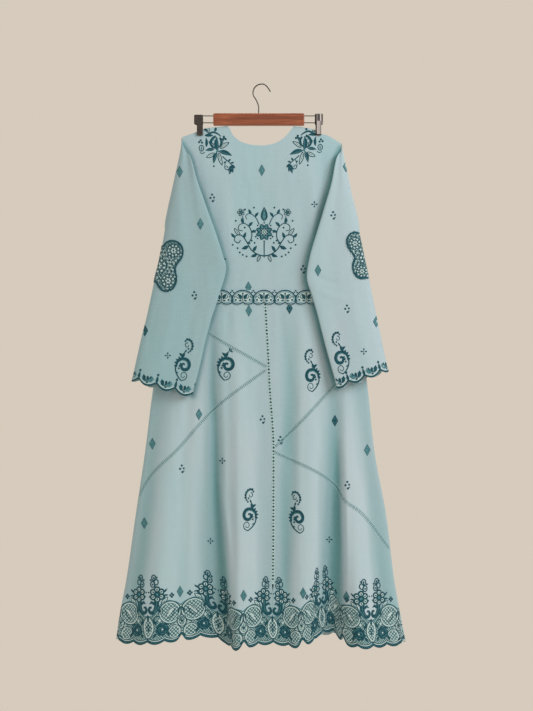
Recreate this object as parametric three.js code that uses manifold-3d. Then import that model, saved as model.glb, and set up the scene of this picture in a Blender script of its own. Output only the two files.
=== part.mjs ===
// Maxi dress with long sleeves, hung by two clips from a wooden hanger.
// Millimetres, +Z up, +X to the right of the picture, the front faces -Y.
// The origin is the inside top of the hanger's wire hook.
import * as THREE from "three";
import { mergeVertices } from "three/addons/utils/BufferGeometryUtils.js";
import Module from "manifold-3d";

const wasm = await Module();
wasm.setup();

// ---- driving sizes -------------------------------------------------------
const CLOTH = 1.2; // wall of a cloth panel
const SEAM = 0.15; // half of the gap left at a seam
const WAIST_Z = -556; // where bodice and skirt meet, under the band
const BAND = { top: -536, bottom: -574, gap: 1.0, wall: 1.2 };
const EDGE = { share: 0.22, small: 8, large: 130 }; // how the two halves round together at side and shoulder
const ARM_ROW = 0.56; // row of the bodice on which the armhole ends
const ARM_IN = 8; // how far the armhole curves toward the chest
const HOOK = { wire: 3.2, loop: 22.6 };
const BAR = { x0: -125.8, x1: 111, z0: -106.6, z1: -75.4, depth: 14 };
const ARM_WIRE = { dia: 2.4, zTop: -81.4, zLow: -99.3, seat: 12, fit: 0.35 };
const CLIPS = {
  left: { x0: -175.5, x1: -152.4, top: -78, bottom: -133.6, plate: [-168.2, -152.8] },
  right: { x0: 138.3, x1: 159.1, top: -75.4, bottom: -133, plate: [140.2, 154.4] },
};
const CLIP = { wall: 1.2, half: 5, pad: 2, padTall: 14, gap: 0.4 };
const CAP_LOW = -102;

// Body: level, left side, right side, depth of front, depth of back
const BODY = [
  [-107, -240, 244, 8, 6],
  [-136, -241, 245, 10, 8],
  [-250, -246, 250, 17, 13],
  [-371.2, -236, 238.4, 20, 16],
  [-567.8, -246.2, 247.8, 22, 18],
  [-791.4, -282.6, 275.9, 27, 24],
  [-950, -302.6, 292.8, 32, 28],
  [-1121.6, -328.1, 324, 36, 30],
  [-1288, -352.3, 346.3, 40, 32],
  [-1450, -375.4, 372.6, 44, 34],
];
// Top edge of the shoulders (the neck left out), across: x, z
const SHOULDER = [
  [-205.9, -136.2],
  [-163, -120.6],
  [-144.8, -113.5],
  [-103.2, -109.4],
  [-90.2, -107.9],
  [82.7, -108.6],
  [108.2, -111],
  [138.6, -117.5],
  [155.5, -128.4],
  [168, -131.5],
  [206.2, -152.6],
];
// Neckline, across: x, z
const NECK = [
  [-90.2, -107.9],
  [-85.5, -110.8],
  [-74.6, -132.1],
  [-49.4, -151.1],
  [-17.9, -158.9],
  [0.8, -159.6],
  [29.4, -155],
  [54.6, -141.4],
  [70.2, -125.8],
  [79.8, -112.4],
  [82.7, -108.6],
];
// Folds of the skirt: name, then x, forward depth and the reach to the left and
// to the right, each at waist, knee and hem
const KNEE_Z = -950,
  HEM_Z = -1450;
const FRONT_FOLDS = [
  ["leftRidge", [-197, -240, -285], [1, 8, 24], [34, 60, 85], [34, 60, 95]],
  ["leftValley", [-127, -123, -97], [-1, -15, -34], [34, 60, 100], [30, 32, 34]],
  ["centreRidge", [-66, -56, -56], [1, 12, 26], [30, 34, 36], [60, 75, 80]],
  ["seamValley", [58, 58, 62], [-1, -8, -6], [34, 40, 44], [34, 40, 40]],
  ["midRidge", [105, 120, 102], [1, 7, 14], [34, 46, 56], [34, 40, 46]],
  ["rightValley", [172, 190, 186], [-1, -15, -38], [34, 50, 60], [30, 32, 36]],
  ["rightRidge", [217, 232, 258], [1, 8, 26], [32, 42, 50], [32, 60, 95]],
];
const BACK_FOLDS = [
  ["ridge1", [-180, -225, -268], [1, 6, 15], [34, 60, 80], [34, 60, 80]],
  ["valley1", [-105, -130, -150], [-1, -8, -18], [34, 55, 70], [34, 55, 70]],
  ["ridge2", [-45, -50, -52], [1, 7, 14], [34, 60, 80], [34, 60, 80]],
  ["valley2", [30, 40, 48], [-1, -8, -17], [34, 55, 70], [34, 55, 70]],
  ["ridge3", [100, 125, 142], [1, 6, 15], [34, 60, 80], [34, 60, 80]],
  ["valley3", [165, 195, 225], [-1, -6, -13], [34, 50, 64], [34, 50, 64]],
];
// Openwork seams of the skirt front, as x, z
const CENTRE_SEAM = [
  [-556, 8.2],
  [-578.5, 9.6],
  [-708.2, 16.9],
  [-782.9, 20.5],
  [-947.1, 30.5],
  [-1279.5, 28.9],
  [-1444.5, 26.5],
];
const SEAMS = {
  leftUpper: [
    [-249, -577],
    [-116.4, -659.9],
    [16, -735.5],
  ],
  leftLower: [
    [-320.6, -1072.2],
    [-287.9, -1016.6],
    [-218.2, -947.6],
    [-125.2, -845.1],
    [5.8, -745],
    [16.5, -737.5],
  ],
  rightUpper: [
    [28, -944],
    [32.8, -940.3],
    [191.1, -778.5],
    [262, -704],
  ],
  rightLower: [
    [28, -950],
    [37.7, -955],
    [190.9, -1040.1],
    [212.5, -1075.8],
    [251.5, -1104.7],
    [334, -1209],
  ],
};
// Hem edge of front and of back, across: x, z
const HEM_FRONT = [
  [-376.7, -1428.4],
  [-354.3, -1449.4],
  [-284.4, -1437.5],
  [-229.5, -1443.2],
  [-207.2, -1425.1],
  [-138.6, -1428.8],
  [-102.6, -1448],
  [-73, -1461.1],
  [-44.8, -1445.8],
  [24, -1444.5],
  [80.2, -1457.3],
  [105.8, -1439.4],
  [129, -1443.2],
  [150.2, -1421.2],
  [184.5, -1419.6],
  [208.4, -1443.2],
  [230.2, -1449.1],
  [328.8, -1450.9],
  [359.8, -1452],
  [372.6, -1441.4],
];
const HEM_BACK = [
  [-376.7, -1428.4],
  [-268, -1440],
  [-150, -1428],
  [-52, -1438],
  [48, -1428],
  [142, -1440],
  [225, -1431],
  [372.6, -1441.4],
];
// Sleeves, a row per ring: outer edge x y z, crease x y z, underarm edge x y z,
// middle of the back x y z, depth of the front's middle, and where the back passes round
// the underarm its lowest point x y z. The first ring is the armhole.
const SLEEVES = {
  left: [
    [-211.1, -7, -173.9, -184.8, -24, -189.8, -230.5, -14.5, -380, -238.5, 3, -307.4, -22, -244, -8, -373],
    [-224.7, -15, -240, -167.5, -34, -248.1, -181.2, -21, -402.3, -245, -3, -349.8, -33],
    [-239.8, -21, -315.8, -145.2, -41, -313.3, -150, -24.5, -422, -248.5, -10, -386.9, -40],
    [-252.8, -25, -398.8, -120.7, -44, -380.3, -118.9, -27, -445.4, -231.8, -17, -423.8, -43],
    [-264.5, -27, -462.1, -100.2, -45, -444.4, -99.5, -30, -463.2, -197.8, -23.5, -452.8, -44],
    [-273.9, -28, -499.6, -91.3, -43, -482.7, -91.6, -34, -483.3, -187.2, -27, -489.2, -45],
    [-284.9, -29, -553.7, -111.8, -44, -557, -112.1, -35, -557.4, -199.9, -29, -553.7, -46],
    [-296.9, -30, -607.8, -128.9, -45, -610.9, -129.3, -36, -611.1, -212.7, -31, -607.8, -48],
    [-309.9, -31, -660.6, -143.4, -47, -664.7, -143.9, -37, -665.1, -227.9, -33.5, -661.9, -50],
    [-321.4, -32, -710.8, -155.5, -49, -718.4, -156.1, -39, -719, -240.5, -36, -715.9, -53],
    [-333.4, -33, -766.1, -174.8, -52, -797.6, -175.4, -42, -798.4, -255.7, -39, -785.2, -56],
  ],
  right: [
    [213.5, -7, -186.9, 193, -24, -194.9, 234.5, -14.5, -388, 239.5, 3, -320, -22, 248.5, -8, -381.5],
    [225.4, -15, -247.7, 179.6, -34, -258.4, 186.8, -21, -413.9, 248.5, -3, -362, -33],
    [239.2, -21, -320.9, 161.2, -41, -322.2, 159.5, -24.5, -437.4, 252, -10, -400, -40],
    [253, -25, -396.2, 141.9, -44, -386.7, 138.7, -27, -462.1, 236.1, -17, -441.9, -43],
    [264.7, -27, -455.7, 123.9, -45, -448.2, 121.9, -30, -480.4, 196.9, -23.5, -470.9, -44],
    [275.2, -28, -502.1, 115.8, -43, -504.4, 116.1, -34, -505.1, 196.7, -27, -504.7, -45],
    [284.9, -29, -548.6, 129, -44, -550.6, 129.4, -35, -550.9, 206.9, -29, -551.1, -46],
    [296.6, -30, -605.2, 145.1, -45, -607, 145.5, -36, -607.5, 219.6, -31, -607.8, -48],
    [307.1, -31, -656.7, 157.8, -47, -658.3, 158.3, -37, -658.9, 232.3, -33.5, -659.3, -50],
    [317.3, -32, -705.6, 171.6, -49, -709.5, 172.1, -39, -710.2, 245, -36, -708.2, -53],
    [325.7, -33, -741.6, 190.6, -52, -779.7, 191.2, -42, -780.5, 257.6, -39, -764.6, -56],
  ],
};
// Share of the armhole that each control of the first ring takes, front then back
const ARM_FRONT = [0, 0.02, 0.04, 0.06, 0.08, 0.1, 0.16, 0.55, 1];
const ARM_BACK = [0.97, 0.5, 0.2, 0.05];
// Facets between one control and the next, round the ring
const RING_STEPS = [1, 3, 4, 4, 1, 1, 3, 3, 2, 3, 3, 2, 1];
const CUFF = { pitch: 49, deep: 15 };
// Outline of the elbow lace from the front, x z; it wraps the outer edge
const LACE = {
  wall: 0.8,
  gap: 0.8,
  left: [
    [-251.9, -421.3], [-246.3, -413.6], [-234.5, -408.4], [-220.1, -409.5], [-207.6, -417.4],
    [-200.9, -429.7], [-200.4, -443.5], [-205.5, -457.6], [-214.0, -468.6], [-219.4, -479.9],
    [-218.9, -493.2], [-216.6, -507.3], [-218.9, -521.7], [-227.3, -535.0], [-240.6, -541.7],
    [-253.4, -539.6], [-264.2, -530.1], [-272.4, -516.8], [-300, -512.0], [-300, -421.5],
  ],
  right: [
    [236.9, -385.5], [225.4, -391.7], [217, -405.8], [217.7, -421.2], [225.4, -435.3],
    [234.4, -446.9], [236.4, -457.1], [232.3, -471.3], [233.4, -487.9], [240.8, -502],
    [253.6, -509.2], [267.7, -507.2], [310, -504], [310, -392], [249.7, -387.9],
  ],
};

// ---- small helpers -------------------------------------------------------
const lerp = (a, b, t) => a + (b - a) * t;
const clamp = (v, a, b) => Math.min(b, Math.max(a, v));

// Straight interpolation in a table of rows, on column k by column key
function table(rows, at, key, k) {
  const up = rows[0][key] < rows[rows.length - 1][key];
  for (let i = 0; i < rows.length - 1; i++) {
    const a = rows[i],
      b = rows[i + 1];
    if (up ? at <= b[key] || i === rows.length - 2 : at >= b[key] || i === rows.length - 2) {
      const t = clamp((at - a[key]) / (b[key] - a[key]), 0, 1);
      return lerp(a[k], b[k], t);
    }
  }
}
// Value at level z of a triple given at waist, knee and hem
const byLevel = (v, z) =>
  z > KNEE_Z
    ? lerp(v[0], v[1], clamp((WAIST_Z - z) / (WAIST_Z - KNEE_Z), 0, 1))
    : lerp(v[1], v[2], clamp((KNEE_Z - z) / (KNEE_Z - HEM_Z), 0, 1));

function round(d) {
  const s = clamp(d / EDGE.small, 0, 1),
    l = clamp(d / EDGE.large, 0, 1);
  return EDGE.share * Math.sqrt(1 - (1 - s) ** 2) + (1 - EDGE.share) * Math.sin((Math.PI / 2) * l);
}

// Depth of the body's cloth at x, z: front is negative, back positive
function bodyY(x, z, front) {
  const xl = table(BODY, z, 0, 1),
    xr = table(BODY, z, 0, 2),
    deep = table(BODY, z, 0, front ? 3 : 4);
  const d = Math.max(0, Math.min(x - xl, xr - x));
  const down = Math.max(0, table(SHOULDER, x, 0, 1) - z);
  let y = deep;
  if (z < WAIST_Z)
    for (const [, px, pa, pl, pr] of front ? FRONT_FOLDS : BACK_FOLDS) {
      const off = x - byLevel(px, z),
        w = off < 0 ? byLevel(pl, z) : byLevel(pr, z);
      if (Math.abs(off) < w) y += (byLevel(pa, z) - Math.sign(byLevel(pa, z))) * (0.5 + 0.5 * Math.cos((Math.PI * off) / w));
    }
  y *= round(d) * round(down);
  return front ? -(SEAM + y) : SEAM + y;
}
// Point of the inner face of a body panel under the outer point at x, z
function bodyInner(x, z, front, wall = CLOTH) {
  const e = 1.5,
    fx = (bodyY(x + e, z, front) - bodyY(x - e, z, front)) / (2 * e),
    fz = (bodyY(x, z + e, front) - bodyY(x, z - e, front)) / (2 * e);
  const n = new THREE.Vector3(fx, -1, fz).normalize().multiplyScalar(front ? 1 : -1);
  const p = new THREE.Vector3(x, bodyY(x, z, front), z).addScaledVector(n, -wall);
  p.y = front ? Math.min(p.y, -SEAM) : Math.max(p.y, SEAM);
  return p;
}

// A closed wall between two grids of points, which may wrap round
function wallOf(outer, inner, wrap = false) {
  const nr = outer.length,
    nc = outer[0].length,
    all = [...outer.flat(), ...inner.flat()];
  const O = (j, i) => j * nc + (i % nc),
    I = (j, i) => nr * nc + O(j, i);
  const faces = [];
  const quad = (a, b, c, d) => faces.push([a, b, c], [a, c, d]);
  const last = wrap ? nc : nc - 1;
  for (let j = 0; j < nr - 1; j++)
    for (let i = 0; i < last; i++) {
      quad(O(j, i), O(j + 1, i), O(j + 1, i + 1), O(j, i + 1));
      quad(I(j, i), I(j, i + 1), I(j + 1, i + 1), I(j + 1, i));
    }
  for (let i = 0; i < last; i++) {
    quad(O(0, i), O(0, i + 1), I(0, i + 1), I(0, i));
    quad(O(nr - 1, i + 1), O(nr - 1, i), I(nr - 1, i), I(nr - 1, i + 1));
  }
  if (!wrap)
    for (let j = 0; j < nr - 1; j++) {
      quad(O(j + 1, 0), O(j, 0), I(j, 0), I(j + 1, 0));
      quad(O(j, nc - 1), O(j + 1, nc - 1), I(j + 1, nc - 1), I(j, nc - 1));
    }
  return facesOf(all, faces);
}
function facesOf(points, faces) {
  let volume = 0;
  for (const [a, b, c] of faces) volume += points[a].dot(new THREE.Vector3().crossVectors(points[b], points[c]));
  const list = volume < 0 ? faces.map(([a, b, c]) => [a, c, b]) : faces;
  const g = new THREE.BufferGeometry().setFromPoints(points);
  g.setIndex(list.flat());
  return g;
}
// Round wire along a path, with flat ends
function wire(path, dia, around = 10) {
  const tube = new THREE.TubeGeometry(path.curve, path.steps, dia / 2, around, false);
  const pos = tube.getAttribute("position"),
    rings = [];
  for (let j = 0; j <= path.steps; j++) {
    const ring = [];
    for (let i = 0; i < around; i++) ring.push(new THREE.Vector3().fromBufferAttribute(pos, j * (around + 1) + i));
    rings.push(ring);
  }
  const pts = rings.flat(),
    faces = [];
  const at = (j, i) => j * around + (i % around);
  for (let j = 0; j < path.steps; j++)
    for (let i = 0; i < around; i++)
      faces.push([at(j, i), at(j + 1, i), at(j + 1, i + 1)], [at(j, i), at(j + 1, i + 1), at(j, i + 1)]);
  for (const [j, turn] of [[0, 1], [path.steps, -1]]) {
    const c = pts.length;
    pts.push(rings[j].reduce((s, p) => s.add(p), new THREE.Vector3()).divideScalar(around));
    for (let i = 0; i < around; i++)
      faces.push(turn > 0 ? [c, at(j, i), at(j, i + 1)] : [c, at(j, i + 1), at(j, i)]);
  }
  return facesOf(pts, faces);
}
// Triangles to a closed solid for a boolean, and back
function solid(geometry) {
  const g = geometry.clone();
  g.deleteAttribute("normal");
  g.deleteAttribute("uv");
  const m = mergeVertices(g, 1e-4);
  return new wasm.Manifold(
    new wasm.Mesh({
      numProp: 3,
      vertProperties: new Float32Array(m.attributes.position.array),
      triVerts: new Uint32Array(m.index.array),
    }),
  );
}
function geometryOf(made) {
  const m = made.getMesh();
  const g = new THREE.BufferGeometry();
  g.setAttribute("position", new THREE.BufferAttribute(new Float32Array(m.vertProperties), 3));
  g.setIndex(new THREE.BufferAttribute(new Uint32Array(m.triVerts), 1));
  return g;
}

const dress = new THREE.Group();
const COLOURS = { cloth: 0xb3cbcc, lace: 0x3d7f86, wood: 0xa8552f, metal: 0x8c8f90, dark: 0x4a4443, rubber: 0x3a2724 };
function add(name, geometry, look) {
  const mesh = new THREE.Mesh(
    geometry,
    new THREE.MeshStandardMaterial({ color: COLOURS[look], roughness: 0.7, metalness: look === "metal" || look === "dark" ? 0.9 : 0 }),
  );
  mesh.name = name;
  dress.add(mesh);
  return mesh;
}

// ---- bodice --------------------------------------------------------------
const S = { left: SHOULDER[0], right: SHOULDER[SHOULDER.length - 1] };
const waist = WAIST_Z + SEAM;
const U = {
  left: [BODY[3][1], lerp(S.left[1], waist, ARM_ROW)],
  right: [BODY[3][2], lerp(S.right[1], waist, ARM_ROW)],
};
// Edge of the bodice at level z: the armhole above the underarm, the side seam below
function bodiceEdge(side, z) {
  const [sx, sz] = S[side],
    [ux, uz] = U[side];
  if (z < uz) return table(BODY, z, 0, side === "left" ? 1 : 2);
  const t = clamp((sz - z) / (sz - uz), 0, 1);
  const ue = table(BODY, uz, 0, side === "left" ? 1 : 2);
  return lerp(sx, ue, t) - Math.sign(sx) * ARM_IN * Math.sin(Math.PI * t);
}
const BODICE_COLS = [
  0, 0.006, 0.02, 0.055, 0.11, 0.2, 0.2808, 0.292, 0.3186, 0.38, 0.456, 0.5016, 0.571, 0.632, 0.67, 0.693,
  0.7003, 0.77, 0.86, 0.945, 0.98, 0.994, 1,
];
const BODICE_ROWS = [0, 0.006, 0.02, 0.06, 0.13, 0.22, 0.32, 0.44, ARM_ROW, 0.67, 0.78, 0.89, 1];
function bodice(front) {
  const outer = [],
    inner = [];
  for (const v of BODICE_ROWS) {
    const ro = [],
      ri = [];
    for (const c of BODICE_COLS) {
      const xTop = lerp(S.left[0], S.right[0], c);
      const inNeck = xTop >= NECK[0][0] && xTop <= NECK[NECK.length - 1][0];
      const zTop = inNeck ? table(NECK, xTop, 0, 1) : table(SHOULDER, xTop, 0, 1);
      const zl = lerp(S.left[1], waist, v),
        zr = lerp(S.right[1], waist, v);
      const x = lerp(bodiceEdge("left", zl), bodiceEdge("right", zr), c),
        z = lerp(zTop, waist, v);
      const zz = front || !inNeck ? z : lerp(zTop - 1.5, waist, v);
      ro.push(new THREE.Vector3(x, bodyY(x, zz, front), zz));
      ri.push(bodyInner(x, zz, front));
    }
    outer.push(ro);
    inner.push(ri);
  }
  return wallOf(outer, inner);
}
add("bodice_front", bodice(true), "cloth");
add("bodice_back", bodice(false), "cloth");

// ---- skirt ---------------------------------------------------------------
// Level at which column c of one half crosses a seam given as x, z
const centreX = (z) => table(CENTRE_SEAM, z, 0, 1);
function columnX(half, c, z) {
  return half === "left"
    ? lerp(table(BODY, z, 0, 1), centreX(z) - SEAM, c)
    : lerp(centreX(z) + SEAM, table(BODY, z, 0, 2), c);
}
function crossing(half, c, rows) {
  let z = rows[0][1];
  for (let k = 0; k < 40; k++) z = lerp(z, table(rows, columnX(half, c, z), 0, 1), 0.7);
  return z;
}
const HALF = {
  left: [0, 0.01, 0.03, 0.09, 0.18, 0.28, 0.38, 0.47, 0.56, 0.64, 0.7, 0.76, 0.84, 0.92, 1],
  right: [0, 0.08, 0.16, 0.24, 0.32, 0.39, 0.45, 0.51, 0.58, 0.66, 0.76, 0.87, 0.965, 0.99, 1],
};
function skirtPiece(half, upper, lower, rows) {
  const outer = [],
    inner = [];
  for (let j = 0; j <= rows; j++) {
    const ro = [],
      ri = [];
    for (const c of HALF[half]) {
      const z0 = upper ? crossing(half, c, upper) - 2.5 * SEAM : WAIST_Z - SEAM,
        z1 = crossing(half, c, lower) + (lower === HEM_FRONT ? 0 : 2.5 * SEAM);
      const z = lerp(z0, z1, j / rows),
        x = columnX(half, c, z);
      ro.push(new THREE.Vector3(x, bodyY(x, z, true), z));
      ri.push(bodyInner(x, z, true));
    }
    outer.push(ro);
    inner.push(ri);
  }
  return wallOf(outer, inner);
}
for (const half of ["left", "right"]) {
  const upper = SEAMS[half + "Upper"],
    lower = SEAMS[half + "Lower"];
  add(`skirt_front_${half}_upper`, skirtPiece(half, null, upper, half === "left" ? 3 : 5), "cloth");
  add(`skirt_front_${half}_middle`, skirtPiece(half, upper, lower, half === "left" ? 5 : 4), "cloth");
  add(`skirt_front_${half}_lower`, skirtPiece(half, lower, HEM_FRONT, 8), "cloth");
}
const BACK_COLS = [
  0, 0.006, 0.02, 0.055, 0.11, 0.165, 0.22, 0.275, 0.33, 0.385, 0.44, 0.5, 0.555, 0.61, 0.665, 0.72, 0.77, 0.82, 0.88,
  0.94, 0.98, 0.994, 1,
];
{
  const rows = 10,
    outer = [],
    inner = [];
  for (let j = 0; j <= rows; j++) {
    const ro = [],
      ri = [];
    for (const c of BACK_COLS) {
      const zHem = table(HEM_BACK, lerp(-376.7, 372.6, c), 0, 1);
      const z = lerp(WAIST_Z - SEAM, zHem, j / rows),
        x = lerp(table(BODY, z, 0, 1), table(BODY, z, 0, 2), c);
      ro.push(new THREE.Vector3(x, bodyY(x, z, false), z));
      ri.push(bodyInner(x, z, false));
    }
    outer.push(ro);
    inner.push(ri);
  }
  add("skirt_back", wallOf(outer, inner), "cloth");
}

// ---- waistband: one ring that covers the waist seam ----------------------
{
  const cols = [0.004, 0.015, 0.04, 0.09, 0.15, 0.21, 0.27, 0.33, 0.39, 0.45, 0.51, 0.57, 0.63, 0.69, 0.75, 0.81, 0.87, 0.92, 0.96, 0.985, 0.996];
  const levels = [BAND.top, BAND.bottom];
  const ring = (z, out) => {
    const pts = [];
    const xl = table(BODY, z, 0, 1),
      xr = table(BODY, z, 0, 2);
    pts.push(new THREE.Vector3(xl - out - 0.5, 0, z));
    for (const c of cols) {
      const x = lerp(xl, xr, c);
      pts.push(bodyInner(x, z, true, -out));
    }
    pts.push(new THREE.Vector3(xr + out + 0.5, 0, z));
    for (const c of [...cols].reverse()) {
      const x = lerp(xl, xr, c);
      pts.push(bodyInner(x, z, false, -out));
    }
    return pts;
  };
  add(
    "waistband",
    wallOf(
      levels.map((z) => ring(z, BAND.gap + BAND.wall)),
      levels.map((z) => ring(z, BAND.gap)),
      true,
    ),
    "cloth",
  );
}

// ---- sleeves -------------------------------------------------------------
function sleeveRing(side, row) {
  const [ox, oy, oz, cx, cy, cz, ix, iy, iz, mx, my, mz, f, ...low] = row;
  const O = [ox, oy, oz],
    C = [cx, cy, cz],
    I = [ix, iy, iz],
    M = [mx, my, mz];
  const mix = (a, b, t, y) => new THREE.Vector3(lerp(a[0], b[0], t), y, lerp(a[2], b[2], t));
  return [
    mix(O, O, 0, oy),
    mix(O, C, 0.07, lerp(oy, f, 0.55)),
    mix(O, C, 0.3, f),
    mix(O, C, 0.65, f),
    mix(O, C, 0.95, cy - 2),
    mix(C, C, 0, cy + 1),
    mix(C, I, 0.08, cy + 4.5),
    mix(C, I, 0.5, lerp(cy + 4.5, iy, 0.55)),
    mix(I, I, 0, iy),
    low.length ? new THREE.Vector3(...low) : mix(I, M, 0.25, lerp(iy, my, 0.25) + 1),
    mix(M, M, 0, my),
    mix(M, O, 0.6, lerp(my, oy + 4, 0.6)),
    mix(M, O, 0.93, oy + 3.5),
  ];
}
function armholeRing(side) {
  const [, sz] = S[side],
    [, uz] = U[side],
    out = side === "left" ? -1.6 : 1.6;
  const at = (t, front) => {
    const z = lerp(sz, uz, t),
      x = bodiceEdge(side, z);
    const y = t === 0 ? 0 : bodyY(x - 3 * Math.sign(out), z, front) + (front ? -0.3 : 0.3);
    return new THREE.Vector3(x + out, y, z);
  };
  // shares of the front edge down to the underarm, then of the back edge up again
  const shares = [...ARM_FRONT, ...ARM_BACK, 0],
    under = ARM_FRONT.length - 1;
  return RING_STEPS.flatMap((n, k) =>
    Array.from({ length: n }, (_, s) => at(lerp(shares[k], shares[k + 1], s / n), k < under)),
  );
}
// The ring through its controls, with the set number of facets between them
function loop(controls) {
  const curve = new THREE.CatmullRomCurve3(controls, true, "centripetal");
  const pts = [];
  RING_STEPS.forEach((n, k) => {
    for (let s = 0; s < n; s++) pts.push(curve.getPoint((k + s / n) / controls.length));
  });
  return pts;
}
function sleeveRings(side) {
  const rings = [armholeRing(side), ...SLEEVES[side].map((row) => loop(sleeveRing(side, row)))];
  // the cuff's edge is scalloped
  const edge = rings[rings.length - 1],
    before = rings[rings.length - 2];
  let s = 0;
  const lengths = edge.map((p, i) => (s += i ? p.distanceTo(edge[i - 1]) : 0));
  const total = s + edge[0].distanceTo(edge[edge.length - 1]),
    count = Math.round(total / CUFF.pitch);
  edge.forEach((p, i) => {
    const wave = Math.abs(Math.sin((Math.PI * count * lengths[i]) / total));
    const along = p.clone().sub(before[i]).normalize();
    p.addScaledVector(along, CUFF.deep * (wave - 0.6));
  });
  return rings;
}
// Outward directions at the points of a tube of rings
function directions(rings, side) {
  const nr = rings.length,
    nc = rings[0].length;
  return rings.map((ring, j) =>
    ring.map((p, i) => {
      const n = new THREE.Vector3();
      for (const dj of [-1, 0]) for (const di of [-1, 0]) {
        const j0 = j + dj,
          i0 = (i + di + nc) % nc,
          i1 = (i0 + 1) % nc;
        if (j0 < 0 || j0 + 1 >= nr) continue;
        const a = rings[j0 + 1][i1].clone().sub(rings[j0][i0]),
          b = rings[j0 + 1][i0].clone().sub(rings[j0][i1]);
        const f = new THREE.Vector3().crossVectors(a, b);
        if (f.length() > 1e-9) n.add(f.normalize());
      }
      return n.normalize().multiplyScalar(side === "left" ? -1 : 1);
    }),
  );
}
const moved = (rings, dirs, by) => rings.map((r, j) => r.map((p, i) => p.clone().addScaledVector(dirs[j][i], by)));
for (const side of ["left", "right"]) {
  const rings = sleeveRings(side),
    dirs = directions(rings, side);
  add("sleeve_" + side, wallOf(rings, moved(rings, dirs, -CLOTH), true), "cloth");

  // elbow lace: the sleeve's own facets moved out, cut to the outline
  const around = rings[0].length,
    from = 22,
    to = around + 9,
    cut = (grid) =>
      grid.slice(3, 9).map((r) => {
        const out = [];
        for (let i = from; i <= to; i++) out.push(r[i % around].clone());
        return out;
      });
  const blank = wallOf(cut(moved(rings, dirs, LACE.gap + LACE.wall)), cut(moved(rings, dirs, LACE.gap)));
  const outline = new THREE.Shape(LACE[side].map(([x, z]) => new THREE.Vector2(x, z)));
  const prism = new THREE.ExtrudeGeometry(outline, { depth: 120, bevelEnabled: false, steps: 1 });
  prism.rotateX(Math.PI / 2).translate(0, 60, 0);
  add("elbow_lace_" + side, geometryOf(solid(blank).intersect(solid(prism))), "lace");
}

// ---- hanger --------------------------------------------------------------
{
  const { x0, x1, z0, z1, depth } = BAR,
    r = 2,
    bevel = 1.5;
  const s = new THREE.Shape();
  const a = x0 + bevel,
    b = x1 - bevel,
    c = z0 + bevel,
    d = z1 - bevel;
  s.moveTo(a + r, c);
  s.lineTo(b - r, c);
  s.quadraticCurveTo(b, c, b, c + r);
  s.lineTo(b, d - r);
  s.quadraticCurveTo(b, d, b - r, d);
  s.lineTo(a + r, d);
  s.quadraticCurveTo(a, d, a, d - r);
  s.lineTo(a, c + r);
  s.quadraticCurveTo(a, c, a + r, c);
  const bar = new THREE.ExtrudeGeometry(s, {
    depth: depth - 2 * bevel,
    bevelEnabled: true,
    bevelThickness: bevel,
    bevelSize: bevel,
    bevelSegments: 2,
    curveSegments: 3,
    steps: 1,
  });
  bar.rotateX(Math.PI / 2).translate(0, depth / 2 - bevel, 0);
  const bore = (dia, len, x, z, upright) => {
    const g = new THREE.CylinderGeometry(dia / 2, dia / 2, len, 16);
    if (upright) g.rotateX(Math.PI / 2);
    else g.rotateZ(Math.PI / 2);
    return solid(g.translate(x, 0, z));
  };
  const wireBore = ARM_WIRE.dia + 2 * ARM_WIRE.fit,
    seat = 2 * (ARM_WIRE.seat + 1);
  let made = solid(bar);
  for (const x of [x0, x1])
    for (const z of [ARM_WIRE.zTop, ARM_WIRE.zLow]) made = made.subtract(bore(wireBore, seat, x, z, false));
  made = made.subtract(bore(HOOK.wire + 0.7, 28, -8, z1, true));
  add("hanger_bar", geometryOf(made), "wood");

  // wire hook: from inside the bar up, a bend, and the loop that opens to the right
  const zc = HOOK.wire / 2 - HOOK.loop,
    on = (deg) => new THREE.Vector3(HOOK.loop * Math.cos((deg * Math.PI) / 180), 0, zc + HOOK.loop * Math.sin((deg * Math.PI) / 180));
  const path = [
    new THREE.Vector3(-8, 0, z1 - 12),
    new THREE.Vector3(-8, 0, z1 + 6),
    new THREE.Vector3(-8, 0, z1 + 18),
    new THREE.Vector3(-10.5, 0, -48),
    on(224),
    on(202),
    on(180),
    on(150),
    on(120),
    on(90),
    new THREE.Vector3(7, 0, 0.5),
    new THREE.Vector3(13, 0, -4.2),
    new THREE.Vector3(18.3, 0, -11),
    new THREE.Vector3(22.8, 0, -18.6),
  ];
  add("hanger_hook", wire({ curve: new THREE.CatmullRomCurve3(path, false, "centripetal"), steps: 32 }, HOOK.wire, 8), "metal");
}
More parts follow.
